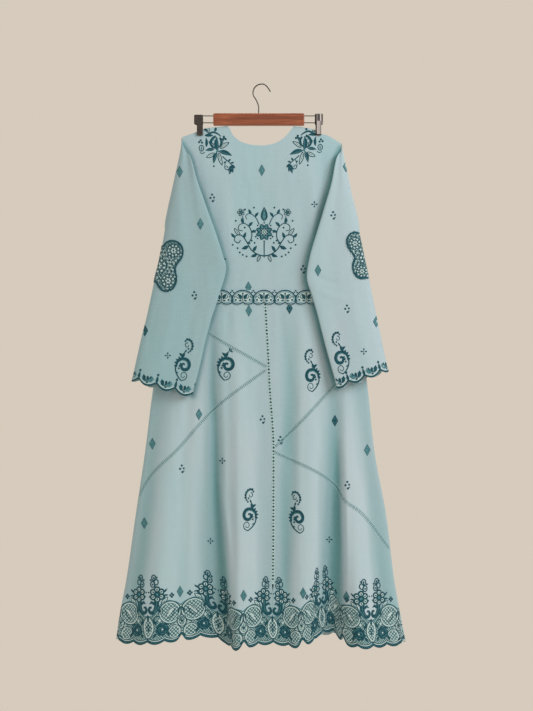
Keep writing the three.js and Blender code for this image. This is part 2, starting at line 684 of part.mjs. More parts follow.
for (const side of ["left", "right"]) {
  const sign = side === "left" ? -1 : 1,
    end = side === "left" ? BAR.x0 : BAR.x1,
    clip = CLIPS[side],
    far = side === "left" ? clip.x0 + 3.4 : clip.x1 - 3.4,
    { zTop, zLow, seat, dia } = ARM_WIRE,
    r = 6;
  const inside = end - sign * seat;
  const v = (x, z) => new THREE.Vector3(x, 0, z);
  const bend = (cx, cz, from) =>
    [0, 1, 2, 3, 4].map((k) => {
      const t = ((from - 22.5 * k) * Math.PI) / 180;
      return v(cx + sign * r * Math.cos(t), cz + r * Math.sin(t));
    });
  const pts = [v(inside, zTop), ...bend(far - sign * r, zTop - r, 90), ...bend(far - sign * r, zLow + r, 0), v(inside, zLow)];
  const curve = new THREE.CurvePath();
  for (let k = 0; k < pts.length - 1; k++) curve.add(new THREE.LineCurve3(pts[k], pts[k + 1]));
  // a ring of facets square to the mid-direction at each corner
  const around = 10,
    rings = pts.map((p, k) => {
      const t = pts[Math.min(k + 1, pts.length - 1)].clone().sub(pts[Math.max(k - 1, 0)]).normalize();
      const side1 = new THREE.Vector3(0, 1, 0),
        side2 = new THREE.Vector3().crossVectors(t, side1).normalize();
      return Array.from({ length: around }, (_, i) => {
        const a = (2 * Math.PI * i) / around;
        return p.clone().addScaledVector(side1, (dia / 2) * Math.cos(a)).addScaledVector(side2, (dia / 2) * Math.sin(a));
      });
    });
  const all = rings.flat(),
    faces = [];
  const at = (j, i) => j * around + (i % around);
  for (let j = 0; j < rings.length - 1; j++)
    for (let i = 0; i < around; i++)
      faces.push([at(j, i), at(j + 1, i), at(j + 1, i + 1)], [at(j, i), at(j + 1, i + 1), at(j, i + 1)]);
  [0, rings.length - 1].forEach((j, k) => {
    const c = all.length;
    all.push(pts[j].clone());
    for (let i = 0; i < around; i++) faces.push(k ? [c, at(j, i + 1), at(j, i)] : [c, at(j, i), at(j, i + 1)]);
  });
  add("arm_wire_" + side, facesOf(all, faces), "metal");

  // clip: a bent strip over both wires, with a rubber pad inside each leg
  const reach = (front) =>
    Math.max(...[clip.x0, clip.x1].map((x) => Math.abs(bodyY(x, clip.bottom, front)))) + CLIP.gap;
  const yf = reach(true),
    yb = reach(false),
    legF = yf + CLIP.pad + 0.3,
    legB = yb + CLIP.pad + 0.3;
  const arc = (rad, from, to) =>
    Array.from({ length: 9 }, (_, k) => {
      const t = lerp(from, to, k / 8);
      return [rad * Math.cos(t), clip.top - CLIP.half + rad * Math.sin(t)];
    });
  const bend0 = clip.bottom + CLIP.padTall + 4,
    bend1 = clip.top - CLIP.half;
  const strip = [
    [-(legF + CLIP.wall), clip.bottom],
    [-(legF + CLIP.wall), bend0],
    ...arc(CLIP.half, Math.PI, 0),
    [legB + CLIP.wall, bend0],
    [legB + CLIP.wall, clip.bottom],
    [legB, clip.bottom],
    [legB, bend0],
    ...arc(CLIP.half - CLIP.wall, 0, Math.PI),
    [-legF, bend0],
    [-legF, clip.bottom],
  ].reverse();
  const shape = new THREE.Shape(strip.map(([y, z]) => new THREE.Vector2(y, z)));
  const width = clip.x1 - clip.x0;
  const g = new THREE.ExtrudeGeometry(shape, { depth: width, bevelEnabled: false, steps: 1 });
  // the shape's x is the part's y, its y is z, and the depth runs along x
  g.applyMatrix4(new THREE.Matrix4().set(0, 0, 1, clip.x0, 1, 0, 0, 0, 0, 1, 0, 0, 0, 0, 0, 1));
  // cut to the clip's outline: a wide cap with round corners, and a narrower plate under it
  const round = 4,
    corner = (x, from) =>
      [0, 1, 2, 3].map((k) => {
        const t = ((from - 30 * k) * Math.PI) / 180;
        return [x + round * Math.cos(t), clip.top - round + round * Math.sin(t)];
      });
  const [q0, q1] = clip.plate;
  const outline = [
    [q0, clip.bottom - 2],
    [q0, CAP_LOW - 3],
    [clip.x0, CAP_LOW],
    ...corner(clip.x0 + round, 180),
    [clip.x0 + round, clip.top + 2],
    [clip.x1 - round, clip.top + 2],
    ...corner(clip.x1 - round, 90),
    [clip.x1, CAP_LOW],
    [q1, CAP_LOW - 3],
    [q1, clip.bottom - 2],
  ];
  const mask = new THREE.ExtrudeGeometry(new THREE.Shape(outline.map(([x, z]) => new THREE.Vector2(x, z))), {
    depth: 60,
    bevelEnabled: false,
    steps: 1,
  });
  mask.rotateX(Math.PI / 2).translate(0, 30, 0);
  add("clip_" + side, geometryOf(solid(g).intersect(solid(mask))), side === "left" ? "dark" : "metal");
  for (const [name, y0, y1] of [["front", -(yf + CLIP.pad), -yf], ["back", yb, yb + CLIP.pad]]) {
    const [p0, p1] = clip.plate;
    const box = new THREE.BoxGeometry(p1 - p0 - 1.6, y1 - y0, CLIP.padTall);
    box.translate((p0 + p1) / 2, (y0 + y1) / 2, clip.bottom + 0.4 + CLIP.padTall / 2);
    add(`clip_${side}_pad_${name}`, box, "rubber");
  }
}

export default dress;
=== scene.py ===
import math

import bpy
import numpy as np
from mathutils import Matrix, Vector
from mathutils.bvhtree import BVHTree


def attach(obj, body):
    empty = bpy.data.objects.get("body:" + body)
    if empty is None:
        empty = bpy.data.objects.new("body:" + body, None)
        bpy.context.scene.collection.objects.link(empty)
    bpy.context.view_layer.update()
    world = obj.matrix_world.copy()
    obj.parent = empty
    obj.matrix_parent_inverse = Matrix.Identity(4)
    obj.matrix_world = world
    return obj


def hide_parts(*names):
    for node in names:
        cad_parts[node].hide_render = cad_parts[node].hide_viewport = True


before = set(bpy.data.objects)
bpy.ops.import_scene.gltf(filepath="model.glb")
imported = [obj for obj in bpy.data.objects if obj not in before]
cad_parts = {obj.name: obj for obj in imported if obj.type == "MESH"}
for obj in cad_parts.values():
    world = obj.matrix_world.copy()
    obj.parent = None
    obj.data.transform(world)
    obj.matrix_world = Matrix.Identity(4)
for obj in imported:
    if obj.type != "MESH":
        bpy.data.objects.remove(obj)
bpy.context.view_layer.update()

MM = 0.001
PX = 2.6                       # millimetres to a pixel of the picture, on the plane y = 0
MID_X, HOOK_Y = 261.7, 84.6    # the hook's inside top in the picture
EYE = np.array([12.5, -3000.0, -704.3])

# ---- the cloth's own sizes, as in the model ---------------------------------
CLOTH, SEAM = 1.0, 0.15
WAIST_Z, KNEE_Z, HEM_Z = -556.0, -950.0, -1450.0
EDGE = dict(share=0.22, small=8.0, large=130.0)
ARM_ROW, ARM_IN = 0.56, 8.0
BAND = dict(top=-535.0, bottom=-573.0, gap=0.9, wall=1.0)

# level, left side, right side, depth of front, depth of back
BODY = [
    [-107, -240, 244, 8, 6], [-136, -241, 245, 10, 8], [-250, -246, 250, 17, 13],
    [-371.2, -236, 238.4, 20, 16], [-567.8, -246.2, 247.8, 22, 18], [-791.4, -282.6, 275.9, 27, 24],
    [-950, -302.6, 292.8, 32, 28], [-1121.6, -328.1, 324, 36, 30], [-1288, -352.3, 344.8, 40, 32],
    [-1376, -369, 360.4, 42.2, 33.1], [-1450, -380, 375, 44, 34],
]
SHOULDER = [
    [-205.9, -136.2], [-163, -120.6], [-144.8, -113.5], [-103.2, -109.4], [-90.2, -107.9], [82.7, -108.6],
    [108.2, -111], [138.6, -117.5], [155.5, -128.4], [168, -131.5], [206.2, -152.6],
]
NECK = [
    [-90.2, -107.9], [-85.5, -110.8], [-74.6, -132.1], [-49.4, -151.1], [-17.9, -158.9], [0.8, -159.6],
    [29.4, -155], [54.6, -141.4], [70.2, -125.8], [79.8, -112.4], [82.7, -108.6],
]
# folds of the skirt: x, forward depth, reach to the left and to the right, at waist, knee and hem
FRONT_FOLDS = [
    ["left ridge", [-197, -240, -285], [1, 8, 24], [34, 60, 85], [34, 60, 95]],
    ["left valley", [-127, -123, -97], [-1, -15, -34], [34, 60, 100], [30, 32, 34]],
    ["centre ridge", [-66, -56, -56], [1, 12, 26], [30, 34, 36], [60, 75, 80]],
    ["seam valley", [68, 66, 62], [-1, -8, -6], [34, 40, 44], [34, 40, 40]],
    ["mid ridge", [105, 120, 102], [1, 7, 14], [34, 46, 56], [34, 40, 46]],
    ["right valley", [172, 190, 186], [-1, -15, -38], [34, 50, 60], [30, 32, 36]],
    ["right ridge", [217, 232, 258], [1, 8, 26], [32, 42, 50], [32, 60, 95]],
]
BACK_FOLDS = [
    ["ridge 1", [-180, -225, -268], [1, 6, 15], [34, 60, 80], [34, 60, 80]],
    ["valley 1", [-105, -130, -150], [-1, -8, -18], [34, 55, 70], [34, 55, 70]],
    ["ridge 2", [-45, -50, -52], [1, 7, 14], [34, 60, 80], [34, 60, 80]],
    ["valley 2", [30, 40, 48], [-1, -8, -17], [34, 55, 70], [34, 55, 70]],
    ["ridge 3", [100, 125, 142], [1, 6, 15], [34, 60, 80], [34, 60, 80]],
    ["valley 3", [165, 195, 225], [-1, -6, -13], [34, 50, 64], [34, 50, 64]],
]
CENTRE_SEAM = [
    [-556, 8.2], [-578.5, 9.6], [-708.2, 16.9], [-782.9, 20.5], [-947.1, 30.5], [-1279.5, 28.9], [-1444.5, 26.5],
]
SEAMS = {
    "leftUpper": [[-249, -577], [-116.4, -659.9], [16, -735.5]],
    "leftLower": [[-320.6, -1072.2], [-287.9, -1016.6], [-218.2, -947.6], [-125.2, -845.1], [5.8, -745], [16.5, -737.5]],
    "rightUpper": [[28, -944], [32.8, -940.3], [191.1, -778.5], [262, -704]],
    "rightLower": [[28, -950], [37.7, -955], [190.9, -1040.1], [212.5, -1075.8], [251.5, -1104.7], [334, -1209]],
}
# the hem's level without its scallops, across: x, z
HEM_FRONT = [
    [-376.7, -1450], [-330, -1447], [-284, -1442], [-207, -1436], [-150, -1431], [-120, -1438], [-100, -1448], [-73, -1457],
    [-40, -1449], [24, -1446], [80, -1453], [112, -1445], [136, -1437], [152, -1424], [184.5, -1421], [206, -1440],
    [230, -1450], [290, -1452], [328.8, -1454], [372.6, -1456],
]
HEM_BACK = [
    [-376.7, -1438], [-268, -1444], [-150, -1432], [-52, -1442], [48, -1432], [142, -1444], [225, -1435], [372.6, -1445],
]
# picture columns of the hem where one repeat of the border ends and the next begins
REPEAT_PX = [112.0, 181.0, 244.0, 303.0, 344.0, 400.0]
LEAN = ([0.1, 0.27, 0.5, 0.76, 0.92], [-0.19, -0.15, 0.0, 0.05, 0.15])  # share of the hem's width, lean of the print
REPEAT_W = 66.0                # width of a repeat, in pixels of 2.6 mm
END_MIDDLES = (147.0, 373.5)   # picture columns of the middles of the first and last whole repeats

# sleeves, a row per ring: outer edge, crease, underarm edge, middle of the back, depth of the front's
# middle and, in the first rows, the underarm's lowest point
SLEEVES = {
    "left": [
        [-211.1, -7, -173.9, -184.8, -24, -189.8, -230.5, -14.5, -380, -238.5, 3, -307.4, -22, -244, -8, -373],
        [-224.7, -15, -240, -167.5, -34, -248.1, -181.2, -21, -402.3, -245, -3, -349.8, -33],
        [-239.8, -21, -315.8, -145.2, -41, -313.3, -150, -24.5, -422, -248.5, -10, -386.9, -40],
        [-252.8, -25, -398.8, -120.7, -44, -380.3, -118.9, -27, -445.4, -231.8, -17, -423.8, -43],
        [-264.5, -27, -462.1, -100.2, -45, -444.4, -99.5, -30, -463.2, -197.8, -23.5, -452.8, -44],
        [-273.9, -28, -499.6, -91.3, -43, -482.7, -91.6, -34, -483.3, -187.2, -27, -489.2, -45],
        [-284.9, -29, -553.7, -111.8, -44, -557, -112.1, -35, -557.4, -199.9, -29, -553.7, -46],
        [-296.9, -30, -607.8, -128.9, -45, -610.9, -129.3, -36, -611.1, -212.7, -31, -607.8, -48],
        [-309.9, -31, -660.6, -143.4, -47, -664.7, -143.9, -37, -665.1, -227.9, -33.5, -661.9, -50],
        [-321.4, -32, -710.8, -155.5, -49, -718.4, -156.1, -39, -719, -240.5, -36, -715.9, -53],
        [-333.4, -33, -766.1, -177.2, -52, -807.5, -177.8, -42, -808.3, -256.5, -39, -790, -56],
    ],
    "right": [
        [213.5, -7, -186.9, 193, -24, -194.9, 234.5, -14.5, -388, 239.5, 3, -320, -22, 248.5, -8, -381.5],
        [225.4, -15, -247.7, 179.6, -34, -258.4, 186.8, -21, -413.9, 248.5, -3, -362, -33],
        [239.2, -21, -320.9, 161.2, -41, -322.2, 159.5, -24.5, -437.4, 252, -10, -400, -40],
        [253, -25, -396.2, 141.9, -44, -386.7, 138.7, -27, -462.1, 236.1, -17, -441.9, -43],
        [264.7, -27, -455.7, 123.9, -45, -448.2, 121.9, -30, -480.4, 196.9, -23.5, -470.9, -44],
        [275.2, -28, -502.1, 115.8, -43, -504.4, 116.1, -34, -505.1, 196.7, -27, -504.7, -45],
        [284.9, -29, -548.6, 129, -44, -550.6, 129.4, -35, -550.9, 206.9, -29, -551.1, -46],
        [296.6, -30, -605.2, 145.1, -45, -607, 145.5, -36, -607.5, 219.6, -31, -607.8, -48],
        [307.1, -31, -656.7, 157.8, -47, -658.3, 158.3, -37, -658.9, 232.3, -33.5, -659.3, -50],
        [317.3, -32, -705.6, 171.6, -49, -709.5, 172.1, -39, -710.2, 245, -36, -708.2, -53],
        [325.7, -33, -741.6, 192.6, -52, -786.2, 193.2, -42, -787, 258.4, -39, -768.4, -56],
    ],
}
ARM_FRONT = [0, 0.02, 0.04, 0.06, 0.08, 0.1, 0.16, 0.55, 1]
ARM_BACK = [0.97, 0.5, 0.2, 0.05]
RING_STEPS = [3, 8, 12, 12, 3, 3, 7, 8, 6, 8, 9, 6, 4]
CUFF = {"left": dict(pitch=51.5, first=24.0, deep=14.0), "right": dict(pitch=42.0, first=30.0, deep=12.0)}
# outline of the elbow lace seen from the front, x z
LACE = {
    "left": [
        [-251.9, -421.3], [-246.3, -413.6], [-234.5, -408.4], [-220.1, -409.5], [-207.6, -417.4],
        [-200.9, -429.7], [-200.4, -443.5], [-205.5, -457.6], [-214.0, -468.6], [-219.4, -479.9],
        [-218.9, -493.2], [-216.6, -507.3], [-218.9, -521.7], [-227.3, -535.0], [-240.6, -541.7],
        [-253.4, -539.6], [-264.2, -530.1], [-272.4, -516.8], [-300, -512.0], [-300, -421.5],
    ],
    "right": [
        [236.9, -385.5], [225.4, -391.7], [217, -405.8], [217.7, -421.2], [225.4, -435.3], [234.4, -446.9],
        [236.4, -457.1], [232.3, -471.3], [233.4, -487.9], [240.8, -502], [253.6, -509.2], [267.7, -507.2],
        [310, -504], [310, -392], [249.7, -387.9],
    ],
}
# soft creases, each a path in pixels of the picture, with its half width there and its height in
# millimetres: a ridge is above 0, a trough below
FRONT_CREASES = [
    ["left chest", [(208, 165), (214, 205), (213, 250)], 9, -1.6],
    ["left chest ridge", [(222, 180), (228, 225), (232, 275)], 8, 1.2],
    ["middle chest", [(262, 180), (268, 230), (271, 285)], 14, -1.2],
    ["right chest", [(300, 185), (305, 225), (304, 280)], 9, -1.4],
    ["right armhole", [(322, 150), (326, 190), (318, 240)], 7, -3.0],
    ["right armhole ridge", [(311, 165), (314, 205), (309, 250)], 7, 1.6],
    ["left armhole", [(199, 165), (203, 200), (206, 240)], 6, -2.2],
    ["waist pucker 1", [(228, 306), (229, 318), (229, 330)], 4, -0.9],
    ["waist pucker 2", [(249, 306), (249, 322), (250, 338)], 4, -0.9],
    ["waist pucker 3", [(281, 306), (282, 330), (285, 356)], 6, -1.6],
    ["waist pucker 4", [(300, 306), (302, 330), (305, 350)], 6, 1.0],
    ["waist pucker 5", [(240, 284), (240, 277), (239, 268)], 4, -0.8],
    ["waist pucker 6", [(288, 284), (289, 274), (291, 262)], 5, -0.9],
    ["under left sleeve", [(190, 395), (186, 440), (180, 500)], 7, -2.6],
    ["left soft ridge", [(200, 410), (199, 470), (193, 540)], 7, 2.2],
    ["left far trough", [(152, 470), (146, 530), (141, 600)], 9, -3.0],
    ["left faint", [(168, 480), (162, 540), (158, 600)], 8, 1.6],
    ["valley left shoulder", [(210, 400), (209, 480), (207, 560)], 4, 2.4],
    ["valley edge", [(219, 470), (228, 530), (232, 585)], 4.5, 3.2],
    ["valley bottom", [(214, 400), (216, 470), (221, 560)], 4, -3.2],
    ["valley top", [(212, 335), (212, 372), (213, 420)], 4.5, -3.4],
    ["middle trough", [(290, 330), (291, 390), (288, 450)], 9, -2.0],
    ["centre ridge left", [(240, 470), (241, 530), (240, 600)], 8, 1.6],
    ["centre faint", [(256, 400), (258, 480), (259, 560)], 6, -1.2],
    ["seam right", [(281, 470), (283, 530), (284, 600)], 6, -2.2],
    ["mid faint", [(297, 420), (298, 480), (297, 560)], 5, 1.4],
    ["mid dark", [(318, 455), (319, 495), (320, 525)], 3.5, -2.2],
    ["right valley bottom", [(336, 440), (337, 500), (338, 570)], 4, -3.4],
    ["right valley edge", [(344, 440), (345, 510), (346, 580)], 4, 3.0],
    ["right faint", [(362, 470), (366, 530), (370, 590)], 7, -1.8],
    ["right far ridge", [(378, 500), (384, 550), (388, 600)], 7, 1.8],
]
BACK_CREASES = [
    ["b1", [(330, 165), (322, 215), (318, 270)], 8, -2.0], ["b2", [(300, 175), (296, 230), (292, 285)], 10, 1.6],
    ["b3", [(262, 170), (260, 230), (258, 288)], 12, -1.6], ["b4", [(228, 175), (228, 230), (232, 282)], 9, 1.5],
    ["b5", [(200, 165), (206, 215), (208, 265)], 8, -2.2], ["b6", [(180, 330), (172, 430), (160, 560)], 8, -2.6],
    ["b7", [(214, 320), (210, 430), (204, 560)], 7, 2.2], ["b8", [(246, 320), (244, 430), (242, 580)], 7, -2.2],
    ["b9", [(284, 320), (286, 430), (287, 580)], 6, 2.0], ["b10", [(316, 320), (322, 430), (327, 570)], 8, -2.4],
    ["b11", [(346, 420), (352, 500), (358, 590)], 7, 2.0],
]
SLEEVE_CREASES = {
    "left": [
        ["from shoulder", [(188, 140), (184, 175), (186, 215)], 5, -1.8],
        ["shoulder ridge", [(194, 150), (196, 190), (203, 235)], 4, 1.6],
        ["upper faint", [(178, 190), (180, 225), (182, 250)], 6, 1.2],
        ["elbow 1", [(212, 262), (202, 270), (188, 276)], 4, -1.8],
        ["elbow 2", [(214, 276), (206, 288), (190, 300)], 5, 1.4],
        ["forearm", [(196, 300), (190, 335), (185, 365)], 6, -1.6],
        ["forearm 2", [(176, 300), (168, 340), (162, 372)], 7, 1.6],
        ["edge fade", [(206, 300), (200, 340), (193, 385)], 4, -1.4],
        ["outer", [(160, 300), (152, 335), (144, 370)], 5, -1.4],
    ],
    "right": [
        ["from shoulder", [(341, 150), (345, 185), (342, 220)], 5, -1.4],
        ["upper faint", [(350, 190), (353, 225), (352, 250)], 6, 1.2],
        ["elbow 1", [(312, 274), (322, 281), (338, 284)], 4, -1.6],
        ["elbow 2", [(316, 290), (328, 296), (346, 300)], 5, 1.4],
        ["forearm", [(330, 300), (338, 335), (344, 360)], 6, -1.4],
        ["forearm 2", [(352, 300), (358, 335), (364, 362)], 7, 1.5],
        ["outer", [(372, 300), (375, 330), (380, 358)], 4, -1.2],
    ],
}


# ---- helpers ------------------------------------------------------------------
def pchip(rows, at, key=0, col=1):
    """Smooth, never overshooting interpolation in a table of rows."""
    a = np.array([r[key] for r in rows], float)
    b = np.array([r[col] for r in rows], float)
    if a[0] > a[-1]:
        a, b = a[::-1], b[::-1]
    h = np.diff(a)
    d = np.diff(b) / h
    m = np.empty_like(b)
    m[0], m[-1] = d[0], d[-1]
    p, q = d[:-1], d[1:]
    w1, w2 = 2 * h[1:] + h[:-1], h[1:] + 2 * h[:-1]
    ok = p * q > 0
    m[1:-1] = np.where(ok, (w1 + w2) / (w1 / np.where(ok, p, 1) + w2 / np.where(ok, q, 1)), 0)
    x = np.clip(np.asarray(at, float), a[0], a[-1])
    k = np.clip(np.searchsorted(a, x, side="right") - 1, 0, len(h) - 1)
    t = (x - a[k]) / h[k]
    return (
        b[k] * (1 + 2 * t) * (1 - t) ** 2 + b[k + 1] * t * t * (3 - 2 * t)
        + h[k] * (m[k] * t * (1 - t) ** 2 - m[k + 1] * t * t * (1 - t))
    )


def level(v, z):
    return pchip([[HEM_Z, v[2]], [KNEE_Z, v[1]], [WAIST_Z, v[0]]], z)


def lerp(a, b, t):
    return a + (b - a) * t


def plane(px, py):
    """Millimetres on the plane y = 0 of a place in the picture."""
    return (px - MID_X) * PX, -(py - HOOK_Y) * PX


def unit(v):
    return v / np.maximum(np.linalg.norm(v, axis=-1, keepdims=True), 1e-9)


def spline(points, n):
    """n points on a smooth open curve through the given ones, evenly spaced."""
    p = np.asarray(points, float)
    if len(p) == 2:
        t = np.linspace(0, 1, n)[:, None]
        return p[0] * (1 - t) + p[1] * t
    s = np.concatenate([[0], np.cumsum(np.linalg.norm(np.diff(p, axis=0), axis=1))])
    fine = np.linspace(0, s[-1], 12 * len(p))
    m = np.empty_like(p)
    m[1:-1] = (p[2:] - p[:-2]) / (s[2:] - s[:-2])[:, None]
    m[0], m[-1] = (p[1] - p[0]) / (s[1] - s[0]), (p[-1] - p[-2]) / (s[-1] - s[-2])
    k = np.clip(np.searchsorted(s, fine, side="right") - 1, 0, len(s) - 2)
    h = (s[k + 1] - s[k])[:, None]
    t = (fine - s[k])[:, None] / h
    q = (
        p[k] * (1 + 2 * t) * (1 - t) ** 2 + p[k + 1] * t * t * (3 - 2 * t)
        + h * (m[k] * t * (1 - t) ** 2 - m[k + 1] * t * t * (1 - t))
    )
    u = np.concatenate([[0], np.cumsum(np.linalg.norm(np.diff(q, axis=0), axis=1))])
    at = np.linspace(0, u[-1], n)
    return np.stack([np.interp(at, u, q[:, c]) for c in range(q.shape[1])], 1)


def creases(x, z, rows, mirror=False):
    """Height of all creases of a table at x, z; each fades out at its ends."""
    out = np.zeros(np.shape(x))
    for _, path, half, high in rows:
        pts = spline([plane(*p) for p in path], 14)
        if mirror:
            pts = pts * [-1, 1]
        w = half * PX
        best = np.full(np.shape(x), 1e9)
        along = np.zeros(np.shape(x))
        for k in range(len(pts) - 1):
            a, b = pts[k], pts[k + 1]
            ab = b - a
            t = np.clip(((x - a[0]) * ab[0] + (z - a[1]) * ab[1]) / (ab @ ab), 0, 1)
            d = np.hypot(x - a[0] - t * ab[0], z - a[1] - t * ab[1])
            near = d < best
            best = np.where(near, d, best)
            along = np.where(near, (k + t) / (len(pts) - 1), along)
        fade = np.sin(np.pi * np.clip(along, 0.04, 0.96)) ** 0.6
        out += high * fade * np.exp(-((best / w) ** 2) * 1.6)
    return out


def crinkle(x, z, seed):
    """The fine unevenness of washed cotton: long soft upright ripples."""
    rng = np.random.default_rng(seed)
    out = np.zeros(np.shape(x))
    for _ in range(14):
        lx, lz = rng.uniform(18, 60), rng.uniform(120, 420)
        ph, ps, lean = rng.uniform(0, 6.28), rng.uniform(0, 6.28), rng.uniform(-0.12, 0.12)
        out += rng.uniform(0.03, 0.09) * lx / 30 * np.sin(6.283 * (x + lean * z) / lx + ph) * np.sin(6.283 * z / lz + ps)
    return out


def rounding(d):
    s = np.clip(d / EDGE["small"], 0, 1)
    l = np.clip(d / EDGE["large"], 0, 1)
    return EDGE["share"] * np.sqrt(1 - (1 - s) ** 2) + (1 - EDGE["share"]) * np.sin(np.pi / 2 * l)


def body_y(x, z, front):
    x, z = np.broadcast_arrays(np.asarray(x, float), np.asarray(z, float))
    xl, xr = pchip(BODY, z, 0, 1), pchip(BODY, z, 0, 2)
    y = pchip(BODY, z, 0, 3 if front else 4).copy()
    d = np.maximum(0, np.minimum(x - xl, xr - x))
    down = np.maximum(0, pchip(SHOULDER, x) - z)
    for _, px, pa, pl, pr in FRONT_FOLDS if front else BACK_FOLDS:
        off = x - level(px, z)
        w = np.where(off < 0, level(pl, z), level(pr, z))
        a = level(pa, z)
        a = a - np.sign(a)
        y += np.where((z < WAIST_Z) & (np.abs(off) < w), a * (0.5 + 0.5 * np.cos(np.pi * np.clip(off / w, -1, 1))), 0)
    y += creases(x, z, FRONT_CREASES if front else BACK_CREASES) + crinkle(x, z, 3 if front else 4)
    y = np.maximum(y, 2.0) * rounding(d) * rounding(down)
    return -(SEAM + y) if front else SEAM + y


def grid_normals(g, wrap=False):
    if wrap:
        across = np.roll(g, -1, axis=1) - np.roll(g, 1, axis=1)
    else:
        across = np.gradient(g, axis=1)
    down = np.gradient(g, axis=0)
    return unit(np.cross(across, down))


def wall(name, outer, inner, mats, wrap=False, shade=None):
    """A closed thin shell between two grids of points, with its weave's UV in metres."""
    nr, nc = outer.shape[:2]
    idx = np.arange(nr * nc).reshape(nr, nc)
    nxt = np.roll(idx, -1, axis=1) if wrap else None
    if wrap:
        a, b, c, d = idx[:-1], idx[1:], nxt[1:], nxt[:-1]
    else:
        a, b, c, d = idx[:-1, :-1], idx[1:, :-1], idx[1:, 1:], idx[:-1, 1:]
    n = nr * nc
    out = np.stack([a, b, c, d], -1).reshape(-1, 4)
    faces = [out, out[:, ::-1] + n]
    top = idx[0] if not wrap else np.append(idx[0], idx[0, 0])
    end = idx[-1] if not wrap else np.append(idx[-1], idx[-1, 0])
    faces.append(np.stack([top[:-1], top[1:], top[1:] + n, top[:-1] + n], -1))
    faces.append(np.stack([end[1:], end[:-1], end[:-1] + n, end[1:] + n], -1))
    if not wrap:
        l, r = idx[:, 0], idx[:, -1]
        faces.append(np.stack([l[1:], l[:-1], l[:-1] + n, l[1:] + n], -1))
        faces.append(np.stack([r[:-1], r[1:], r[1:] + n, r[:-1] + n], -1))
    faces = np.concatenate(faces)
    pts = np.concatenate([outer.reshape(-1, 3), inner.reshape(-1, 3)])
    p = pts[faces]
    if np.einsum("ij,ij->i", p[:, 0], np.cross(p[:, 1], p[:, 2])).sum() + np.einsum(
            "ij,ij->i", p[:, 0], np.cross(p[:, 2], p[:, 3])).sum() < 0:
        faces = faces[:, ::-1]
    # weave coordinates: arc lengths along the middle row and down each column
    mid = nr // 2
    u = np.concatenate([[0], np.cumsum(np.linalg.norm(np.diff(outer[mid], axis=0), axis=1))])
    v = np.concatenate([np.zeros((1, nc)), np.cumsum(np.linalg.norm(np.diff(outer, axis=0), axis=2), axis=0)])
    uv = np.stack([np.broadcast_to(u, (nr, nc)), -v], -1).reshape(-1, 2) * MM
    return make(name, pts, faces, mats, uv=np.concatenate([uv, uv]),
                shade=None if shade is None else np.concatenate([shade.ravel(), shade.ravel()]))


def make(name, pts, faces, mats, uv=None, which=None, shade=None, smooth=True, sharp=40):
    me = bpy.data.meshes.new(name)
    faces = np.asarray(faces)
    k = faces.shape[1]
    me.vertices.add(len(pts))
    me.vertices.foreach_set("co", (np.asarray(pts) * MM).astype(np.float32).ravel())
    me.loops.add(faces.size)
    me.loops.foreach_set("vertex_index", faces.ravel().astype(np.int32))
    me.polygons.add(len(faces))
    me.polygons.foreach_set("loop_start", (np.arange(len(faces)) * k).astype(np.int32))
    if uv is not None:
        layer = me.uv_layers.new(name="weave")
        layer.data.foreach_set("uv", uv[faces.ravel()].astype(np.float32).ravel())
    # a per-point painted shade value, which the cloth material mixes into its colour
    if shade is not None:
        at = me.attributes.new("shade", "FLOAT", "POINT")
        at.data.foreach_set("value", shade.astype(np.float32))
    for m in mats if isinstance(mats, (list, tuple)) else [mats]:
        me.materials.append(m)
    if which is not None:
        me.polygons.foreach_set("material_index", np.asarray(which, np.int32))
    me.update(calc_edges=True)
    me.validate()
    me.polygons.foreach_set("use_smooth", np.ones(len(me.polygons), bool))
    if sharp:
        me.set_sharp_from_angle(angle=math.radians(sharp))
    ob = bpy.data.objects.new(name, me)
    bpy.context.scene.collection.objects.link(ob)
    return ob


def surface(*grids, wrap=False):
    """A tree for dropping points on these outer faces."""
    pts, tris, n = [], [], 0
    for g in grids:
        nr, nc = g.shape[:2]
        idx = np.arange(nr * nc).reshape(nr, nc) + n
        if wrap:
            nx = np.roll(idx, -1, axis=1)
            a, b, c, d = (q.ravel() for q in (idx[:-1], idx[1:], nx[1:], nx[:-1]))
        else:
            a, b, c, d = (q.ravel() for q in (idx[:-1, :-1], idx[1:, :-1], idx[1:, 1:], idx[:-1, 1:]))
        pts.append(g.reshape(-1, 3))
        tris.append(np.concatenate([np.stack([a, b, c], -1), np.stack([a, c, d], -1)]))
        n += nr * nc
    return BVHTree.FromPolygons(np.concatenate(pts).tolist(), np.concatenate(tris).tolist())


# ---- materials ------------------------------------------------------------------
def srgb(r, g, b):
    return tuple((c / 255 / 12.92) if c / 255 <= 0.04045 else ((c / 255 + 0.055) / 1.055) ** 2.4 for c in (r, g, b)) + (1,)


